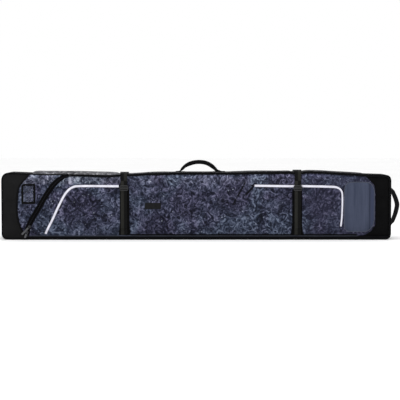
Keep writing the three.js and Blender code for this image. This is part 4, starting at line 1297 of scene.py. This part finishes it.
piece_on("bag_body", tube("front_edge_piping", ring_path(-CORD_Y), CORD_RADIUS, M_PIPE, 12, True),
         "front_piping", slot="piping")
piece_on("bag_body", tube("back_edge_piping", ring_path(CORD_Y, off_housing), CORD_RADIUS, M_PIPE, 12),
         "back_piping", slot="piping")
CAP_SEAM = cap_edge(0.0)
CAP_SEAM = CAP_SEAM[(CAP_SEAM[:, 1] > 0.022) & (CAP_SEAM[:, 1] < 0.3085)]
piece_on("bag_body", front_ribbon("cap_edge_binding", CAP_SEAM, 0.0064, 0.0003, 0.0011, M_PIPE, bulge=0.0006),
         "cap_piping", slot="piping")
RIM_LINE = densify([(-0.826, 0.0180), (0.780, 0.0180)], 0.02)
piece_on("bag_body", tube("bottom_edge_cord", on_front(RIM_LINE, 0.0004), 0.0010, M_GREY_PIPE), slot="piping")
HEM = [(-0.322, 0.0232), (0.772, 0.0232)]
piece_on("lid", front_ribbon("lid_hem", HEM, 0.0068, 0.0003, 0.0009, M_PIPE, 6, bulge=0.0004),
         slot="black_fabric")

# ---------------------------------------------------------------- zip
TAPE_WIDE, TAPE_NARROW, TAPE_THICK, TAPE_GAP = 0.0124, 0.0021, 0.0011, 0.0007
COIL_WIDE, COIL_THICK = 0.0026, 0.0026
DIAGONAL = diagonal_edge(0.0)
PARTING = zip_path()


def diagonal_point(x):
    return x, float(np.interp(x, DIAGONAL[:, 0], DIAGONAL[:, 1]))


def opening_width(path):
    """The lid's tape is wide on the open diagonal and narrow where the edge binding covers it."""
    return 0.0012 + 0.0114 * smooth(-0.610, -0.690, path[:, 0]) * (path[:, 0] < 0)


def tape_side(name, path, side, width, body, *nodes):
    """Tape and coil on one side of the parting line; side is 1 on its left."""
    path = densify(path, 0.007)
    width = width(path) if callable(width) else np.full(len(path), width)
    shift = (side * (TAPE_GAP + width / 2))[:, None]
    ribbon = front_ribbon(name, path, width, 0.0003, TAPE_THICK, M_ZIP, 5, shift)
    piece_on(body, ribbon, *nodes, slot="zip_tape")
    coil = front_ribbon(name + "_coil", path, COIL_WIDE, TAPE_THICK + 0.0004, COIL_THICK - TAPE_THICK, M_COIL,
                        6, side * (0.0002 + COIL_WIDE / 2), bulge=0.0002)
    piece_on(body, coil, slot="zip_tape")


tape_side("zip_fixed", DIAGONAL, 1, TAPE_WIDE, "bag_body", "zip_tape_body")
tape_side("zip_fixed_edge", PARTING[len(DIAGONAL) - 1:], 1, TAPE_NARROW, "bag_body")
OPENING_START, CLOSED_END = diagonal_point(GORE_TOP_X + 0.0001), diagonal_point(GORE_TOP_X - 0.0001)
tape_side("zip_opening", np.vstack([OPENING_START, PARTING[PARTING[:, 0] > OPENING_START[0]]]), -1,
          opening_width, "lid", "zip_tape_lid")
tape_side("zip_closed", np.vstack([DIAGONAL[DIAGONAL[:, 0] < CLOSED_END[0]], CLOSED_END]), -1, TAPE_WIDE,
          "bag_body")

# ---------------------------------------------------------------- trims on the front
# Width of the reflective tape with its dark edge bands, which are partly painted shade.
LINE_WIDE = 0.0124
# The window binding is drawn wider than the binding itself: its dark band also stands in for the shade along
# it.
BINDING_AND_SHADE_WIDE = 0.0100
on_trim_base = skin(0.0003)
binding_face = skin(0.0019, 0.0011, 0.0012)


def line_width(path):
    """The line is drawn in a little where it runs down the right-hand end."""
    return LINE_WIDE - 0.0034 * smooth(0.66, 0.70, path[:, 0])


for side, path in (("left", LEFT_LINE), ("right", RIGHT_LINE)):
    line = front_ribbon("reflective_" + side, rounded(path, 2), line_width, 0.0003, 0.0009, M_REFLECT, 6,
                        face=LINE_WIDE)
    piece_on("lid", line, "reflective_line_" + side, slot="reflective_tape")


def patch_face(p, near):
    crease = 0.0016 * bell(p[:, 0] - PATCH_CREASE_X, 0.0035)
    return laid(p, front_y(p[:, 0], p[:, 1], 0.0022) + 0.0014 * bell(near, 0.004) + crease)


def rubber_face(p, near):
    ridge = 0.0007 * bell(near - 0.0022, 0.0007)
    return laid(p, front_y(p[:, 0], p[:, 1], 0.0021) - ridge + 0.0013 * bell(near, 0.0008))


def film_at(out):
    def at(p, near):
        return laid(p, front_y(p[:, 0], p[:, 1], out) - 0.0006 * smooth(0, 0.02, near))
    return at


def shrunk(ring, distance):
    """Convex ring moved inwards by a distance."""
    steps = ring - np.roll(ring, 1, 0)
    before = left_of(steps / np.linalg.norm(steps, axis=1)[:, None])
    mid = before + np.roll(before, -1, 0)
    return ring + mid * distance / (mid * before).sum(1)[:, None]


PATCH_RING = round_ring(SIDE_PATCH, 0.010, 3)
piece_on("lid", slab("side_panel", [PATCH_RING], patch_face, on_trim_base, M_SLATE), "side_patch",
         slot="slate_fabric")
PATCH_PATH = on_front(closed_densify(PATCH_RING, 0.006), 0.0012)
piece_on("lid", tube("side_panel_piping", PATCH_PATH, 0.0013, M_GREY_PIPE, closed=True), slot="slate_fabric")
piece_on("lid", slab("rubber_badge", [round_ring(BADGE, 0.003)], rubber_face, on_trim_base, M_RUBBER,
                     spacing=0.004, bands=(0.0006, 0.0015, 0.0022, 0.003)), "rubber_patch", slot="rubber_tab")
WINDOW_RINGS = [round_ring(WINDOW_RING, 0.003), shrunk(WINDOW_RING, BINDING_AND_SHADE_WIDE)]
piece_on("bag_body", slab("window_binding", WINDOW_RINGS, binding_face, on_trim_base, M_PIPE, spacing=0.004,
                          bands=(0.0008, 0.0018)), "label_window_binding", slot="piping")
piece_on("bag_body", slab("window_pane", [shrunk(WINDOW_RING, BINDING_AND_SHADE_WIDE + 0.0003)], film_at(0.0010),
                          film_at(0.0006), M_FILM, spacing=0.006, bands=(0.002,)),
         "label_window", slot="clear_film")

# ---------------------------------------------------------------- compression straps
STRAP_WIDE, WEB_THICK = 0.032, 0.002
# Reach of each backing strip left and right of its strap; the wider side stands partly for painted shade
# beside the strap.
BACKING = {"left": (-0.020, 0.026), "right": (-0.027, 0.021)}
WEB_OFFSET, TAIL_OFFSET, ADJUSTER_OFFSET = 0.0016, 0.0039, 0.0066
ADJUSTER_Z, ADJUSTER_THICK = 0.250, 0.0042
STITCH_HALF = 0.0138


def base_ring(side, x):
    """Outline of the backing strip under a strap, flared at its foot; the flare and its reach past the strap
    on one side are a dark sheet partly standing in for the strap's shade.
    """
    left, right = BACKING[side]
    return round_ring(np.array([
        (left - 0.006, 0.022), (right + 0.006, 0.022), (right + 0.003, 0.050), (right, 0.078), (right, 0.246),
        (left, 0.246), (left, 0.078), (left - 0.003, 0.050),
    ]) + (x, 0), 0.003)


def adjuster_rings(x):
    """Outline of the ladder adjuster and of its two slots."""
    half_x, half_z = 0.0205, 0.0135
    rings = [round_ring(rectangle(x - half_x, ADJUSTER_Z - half_z, x + half_x, ADJUSTER_Z + half_z), 0.004)]
    for z in (ADJUSTER_Z - 0.0056, ADJUSTER_Z + 0.0056):
        rings.append(round_ring(rectangle(x - 0.017, z - 0.0016, x + 0.017, z + 0.0016), 0.001))
    return rings


def stitch_rows(x):
    """Box and cross at the strap's foot and two rows on the folded end of its tail."""
    half = STITCH_HALF
    a, b, c, d = rectangle(x - half, 0.0255, x + half, 0.0500)
    rows = [on_front(densify(row, 0.006), 0.0038) for row in ((a, b), (b, c), (c, d), (d, a), (a, c), (b, d))]
    for z in (0.0600, 0.0660):
        rows.append(on_front(densify([(x - half, z), (x + half, z)], 0.006), TAIL_OFFSET + 0.0038))
    return rows


def over_edge_path(x, top):
    """Inner face of the webbing, from behind the adjuster up over the top edge to the male buckle."""
    low = [(float(front_y(x, z, WEB_OFFSET)), z) for z in (0.258, 0.270, 0.282, 0.290)]
    edge = [
        (-0.0896, 0.300), (-0.0892, top - 0.008), (-0.0886, top - 0.001), (-0.0850, top + 0.0024),
        (-0.0790, top + 0.0030), (-0.0720, top + 0.0030), (-0.0600, top + 0.0032),
    ]
    return densify(rounded(low + edge, 2), 0.003)


def back_strap_path(x, top):
    """Inner face of the webbing, from the female buckle over the back edge and down the back."""
    edge = [
        (-0.0205, top + 0.0002), (0.060, top + 0.0002), (0.0790, top + 0.0002), (0.0850, top - 0.0012),
        (0.0868, top - 0.006), (0.0873, top - 0.020),
    ]
    down = [(float(back_y(x, z)) + 0.0004, z) for z in np.linspace(top - 0.04, 0.012, 20)]
    return densify(rounded(edge + down, 2), 0.006)


def front_strap(side, x):
    """Backing, webbing, free tail with its folded end and stitching, on the lid."""
    base = slab("strap_base_" + side, [base_ring(side, x)], binding_face, on_trim_base, M_BACKING,
                spacing=0.006, bands=(0.001,), uv=lambda p: np.stack([p[:, 1], p[:, 0] - x], 1))
    piece_on("lid", base, "strap_anchor_" + side, slot="webbing")
    over_tail = TAIL_OFFSET + WEB_THICK + 0.0001
    for name, z0, z1, width, offset, thick, nodes in (
        ("strap_front_", 0.0235, 0.257, STRAP_WIDE, WEB_OFFSET, WEB_THICK, ["front_strap_" + side]),
        ("strap_free_end_", 0.0555, 0.2845, STRAP_WIDE, TAIL_OFFSET, WEB_THICK, ["strap_tail_" + side]),
        ("strap_end_fold_", 0.0545, 0.0700, STRAP_WIDE - 0.0008, over_tail, 0.0016, []),
    ):
        ribbon = front_ribbon(name + side, [(x, z0), (x, z1)], width, offset, thick, M_WEB)
        piece_on("lid", ribbon, *nodes, slot="webbing")
    piece_on("lid", stitches("strap_stitching_" + side, stitch_rows(x), M_THREAD), slot="webbing")


def strap(side, x, top):
    """One compression strap; top is the height of the wall under its buckle."""
    front_strap(side, x)
    bar = slab("slide_bar_" + side, adjuster_rings(x), skin(ADJUSTER_OFFSET + ADJUSTER_THICK, 0.0016, 0.0011),
               skin(ADJUSTER_OFFSET, -0.0006, 0.0011), M_PLASTIC, spacing=0.003, bands=(0.0005, 0.0012),
               sharp=60)
    piece_on("adjuster_" + side, bar, "strap_adjuster_" + side, slot="buckle_plastic")
    over = yz_ribbon("strap_over_edge_cloth_" + side, x, over_edge_path(x, top), STRAP_WIDE, WEB_THICK, M_WEB)
    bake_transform(over)
    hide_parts("strap_over_edge_" + side)
    behind = yz_ribbon("strap_back_" + side, x, back_strap_path(x, top), STRAP_WIDE, WEB_THICK, M_WEB)
    piece_on("bag_body", behind, "back_strap_" + side, slot="webbing")


for side, x in zip(("left", "right"), STRAP_X):
    strap(side, x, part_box("buckle_female_" + side)[0].z)

# ---------------------------------------------------------------- handles
TOP_Z = 0.3263
HANDLE_THICK = 0.0034
END_ROOT_X = 0.947
END_TILT, END_TWIST = math.radians(-35), math.radians(-53)
CARRY_PATH = np.array([
    (-104, 2.0), (-93, 2.4), (-83, 4), (-78, 9), (-70.5, 19), (-57, 31.5), (-37, 42), (-13, 48.5), (10, 50.5),
    (33, 48.5), (53, 42.5), (70, 33), (85.5, 20), (95, 9), (100, 4), (112, 2.4), (136, 2.0),
]) / 1000
END_PATH = np.array([
    (-3.2, 283), (-2.8, 268), (-1.5, 258), (4.5, 247), (14, 227), (26, 204), (34.5, 181), (38, 166),
    (34.5, 146), (26, 116), (14, 88), (4.5, 66), (-1.5, 54), (-2.8, 44), (-3.2, 29),
]) / 1000


def carry_handle():
    """Webbing loop on the top, padded along its grip."""
    path = densify(rounded(CARRY_PATH, 3), 0.005)
    share = run_along(path) / run_along(path)[-1]
    width = 0.036 - 0.008 * smooth(0.08, 0.3, share) * smooth(0.95, 0.72, share)
    padding = 0.0112 * smooth(0.06, 0.14, share) * smooth(0.95, 0.88, share)
    padding = padding + 0.0056 * smooth(0.16, 0.30, share) * smooth(0.86, 0.72, share)
    centres = np.stack([path[:, 0], np.zeros(len(path)), path[:, 1] + TOP_Z], 1)
    thin = np.cross((0, 1, 0), tangents(centres))
    centres = centres + thin * (0.12 * padding)[:, None]
    obj = loft("carry_loop", centres, (0, 1, 0), thin, width, HANDLE_THICK + padding, M_HANDLE, 20, 3.4)
    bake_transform(obj)
    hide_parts("carry_handle")


def end_handle():
    """Flat webbing loop on the right end, twisted and tilted out of its anchors."""
    path = densify(rounded(END_PATH, 2), 0.005)
    h, z = path[:, 0], path[:, 1]
    turn = END_TILT * smooth(-0.0026, 0.010, h)
    centres = np.stack([END_ROOT_X + h * np.cos(turn), h * np.sin(turn), z], 1)
    width = 0.0260 + 0.005 * np.sin(math.pi * np.linspace(0, 1, len(path)))
    twist = END_TWIST * smooth(0.0, 0.013, h)
    across = np.stack([-np.sin(twist), np.cos(twist), 0 * twist], 1)
    along = tangents(centres)
    thin = unit(np.cross(along, across))
    obj = loft("end_loop", centres, np.cross(thin, along), thin, width, HANDLE_THICK, M_HANDLE, 20, 5.0)
    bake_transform(obj)
    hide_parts("end_handle")


def on_top(p, height):
    return np.stack([p[:, 0], p[:, 1], TOP_Z + height], 1)


def on_end(p, height):
    return np.stack([RIGHT_X + 0.0003 + height, p[:, 0], p[:, 1]], 1)


def anchor_patch(name, corners, node, place, depth, along):
    """Patch sewn under a handle's end; place puts 2D points on its wall, along is the webbing's axis."""
    def outer_at(p, near):
        return place(p, 0.0026 - 0.0009 * bell(near, 0.0012))

    def inner_at(p, near):
        return place(p, np.full(len(p), -depth))

    obj = slab(name, [round_ring(rectangle(*corners), 0.003)], outer_at, inner_at, M_HANDLE, spacing=0.008,
               bands=(0.0012,), uv=lambda p: np.stack([p[:, along], p[:, 1 - along]], 1))
    piece_on("bag_body", obj, node, slot="webbing")


carry_handle()
for name, corners, node in (
    ("carry_patch_left", (-0.104, -0.019, -0.058, 0.019), "carry_anchor_left"),
    ("carry_patch_right", (0.076, -0.019, 0.138, 0.019), "carry_anchor_right"),
):
    anchor_patch(name, corners, node, on_top, 0.0012, 0)
for name, corners, node in (
    ("end_patch_upper", (-0.019, 0.254, 0.019, 0.284), "end_anchor_upper"),
    ("end_patch_lower", (-0.019, 0.028, 0.019, 0.058), "end_anchor_lower"),
):
    anchor_patch(name, corners, node, on_end, 0.0023, 1)
end_handle()

# ---------------------------------------------------------------- wheels
HALF_TYRE = [
    (28.4, -16), (30, -16.6), (34, -16.9), (36.4, -15), (37.4, -11), (37.8, -6.4), (37.0, -6), (37.0, -5),
    (37.9, -4.6),
]
TYRE = np.array(HALF_TYRE + [(38, 0)] + [(r, -h) for r, h in HALF_TYRE[::-1]]) / 1000


def turned(name, profile, z, material, sides=72):
    """Closed ring of revolution about the wheel's upright axis, from radius and height points."""
    angle = np.linspace(0, 2 * math.pi, sides, endpoint=False)
    n = len(profile)
    verts = np.stack([
        WHEEL_X + np.outer(np.cos(angle), profile[:, 0]), WHEEL_Y + np.outer(np.sin(angle), profile[:, 0]),
        z + np.outer(np.ones(sides), profile[:, 1]),
    ], 2).reshape(-1, 3)
    faces = []
    for i in range(sides):
        j = (i + 1) % sides
        for k in range(n):
            m = (k + 1) % n
            faces.append((j * n + k, j * n + m, i * n + m, i * n + k))
    return link(name, verts, faces, material, sharp=40)


for side, z in zip(("lower", "upper"), WHEEL_Z):
    tyre = turned("tyre_" + side, TYRE, z, M_TYRE)
    piece_on("wheel_" + side, tyre, "wheel_tyre_" + side, slot="wheel_tyre")

# ---------------------------------------------------------------- inside tie-downs
for side, x in (("left", -0.480), ("right", 0.420)):
    z = np.linspace(0.022, 0.292, 46)
    y = 0.0742 - 0.0024 * np.sin((z - 0.022) / 0.27 * math.pi) ** 2 - 0.0006 * np.sin(z * 74)
    web = yz_ribbon("tie_down_web_" + side, x, np.stack([y, z], 1), 0.025, 0.0016, M_HANDLE)
    piece_on("bag_body", web, "tie_down_strap_" + side, slot="webbing")


# ---------------------------------------------------------------- CAD pieces kept, with softened edges
def keep_node(node, material, bevel):
    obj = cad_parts[node]
    obj.data.materials.clear()
    obj.data.materials.append(material)
    modifier = obj.modifiers.new("soft_edges", "BEVEL")
    modifier.width = bevel
    modifier.segments = 3
    modifier.limit_method = "ANGLE"
    modifier.angle_limit = math.radians(35)
    modifier.harden_normals = False


for side in ("left", "right"):
    keep_node("buckle_female_" + side, M_PLASTIC, 0.0011)
    keep_node("buckle_male_" + side, M_PLASTIC, 0.0010)
    keep_node("tie_down_buckle_" + side, M_PLASTIC, 0.0008)
for side in ("upper", "lower"):
    keep_node("zip_slider_" + side, M_STEEL, 0.0005)
    keep_node("zip_pull_" + side, M_PULL, 0.0005)
    keep_node("wheel_hub_" + side, M_HUB, 0.0006)
    keep_node("wheel_axle_" + side, M_AXLE, 0.0004)
keep_node("wheel_housing", M_HOUSING, 0.0010)


# ---------------------------------------------------------------- stage and light
def studio_floor(size=40, drop=0.0004):
    paint = Paint("studio_floor", 0.9, specular=0.1)
    paint.colour(paint.ramp(paint.noise(0.8), [(0.3, (251, 251, 251)), (0.7, (254, 254, 254))]))
    mesh = bpy.data.meshes.new("floor")
    corners = rectangle(-size / 2, -size / 2, size / 2, size / 2)
    mesh.from_pydata([(x, y, 0) for x, y in corners], [], [(0, 1, 2, 3)])
    mesh.materials.append(paint.done())
    floor = bpy.data.objects.new("floor", mesh)
    floor.location = (0, 0, -drop)
    SCENE.collection.objects.link(floor)


def area_light(name, location, size, power, aim=(0, 0, 0.2)):
    data = bpy.data.lights.new(name, "AREA")
    data.shape = "RECTANGLE"
    data.size, data.size_y = size
    data.energy = power
    obj = bpy.data.objects.new(name, data)
    obj.location = location
    obj.rotation_euler = (Vector(aim) - Vector(location)).to_track_quat("-Z", "Y").to_euler()
    SCENE.collection.objects.link(obj)


studio_floor()
area_light("top_softbox", (0, -0.7, 2.6), (3.2, 1.6), 26)
area_light("front_softbox", (0.6, -3.6, 1.3), (3.4, 1.6), 6)
world = bpy.data.worlds.new("studio")
SCENE.world = world
world.use_nodes = True
world.node_tree.nodes["Background"].inputs["Color"].default_value = (1, 1, 1, 1)
world.node_tree.nodes["Background"].inputs["Strength"].default_value = 1.0
SCENE.view_settings.view_transform = "Standard"
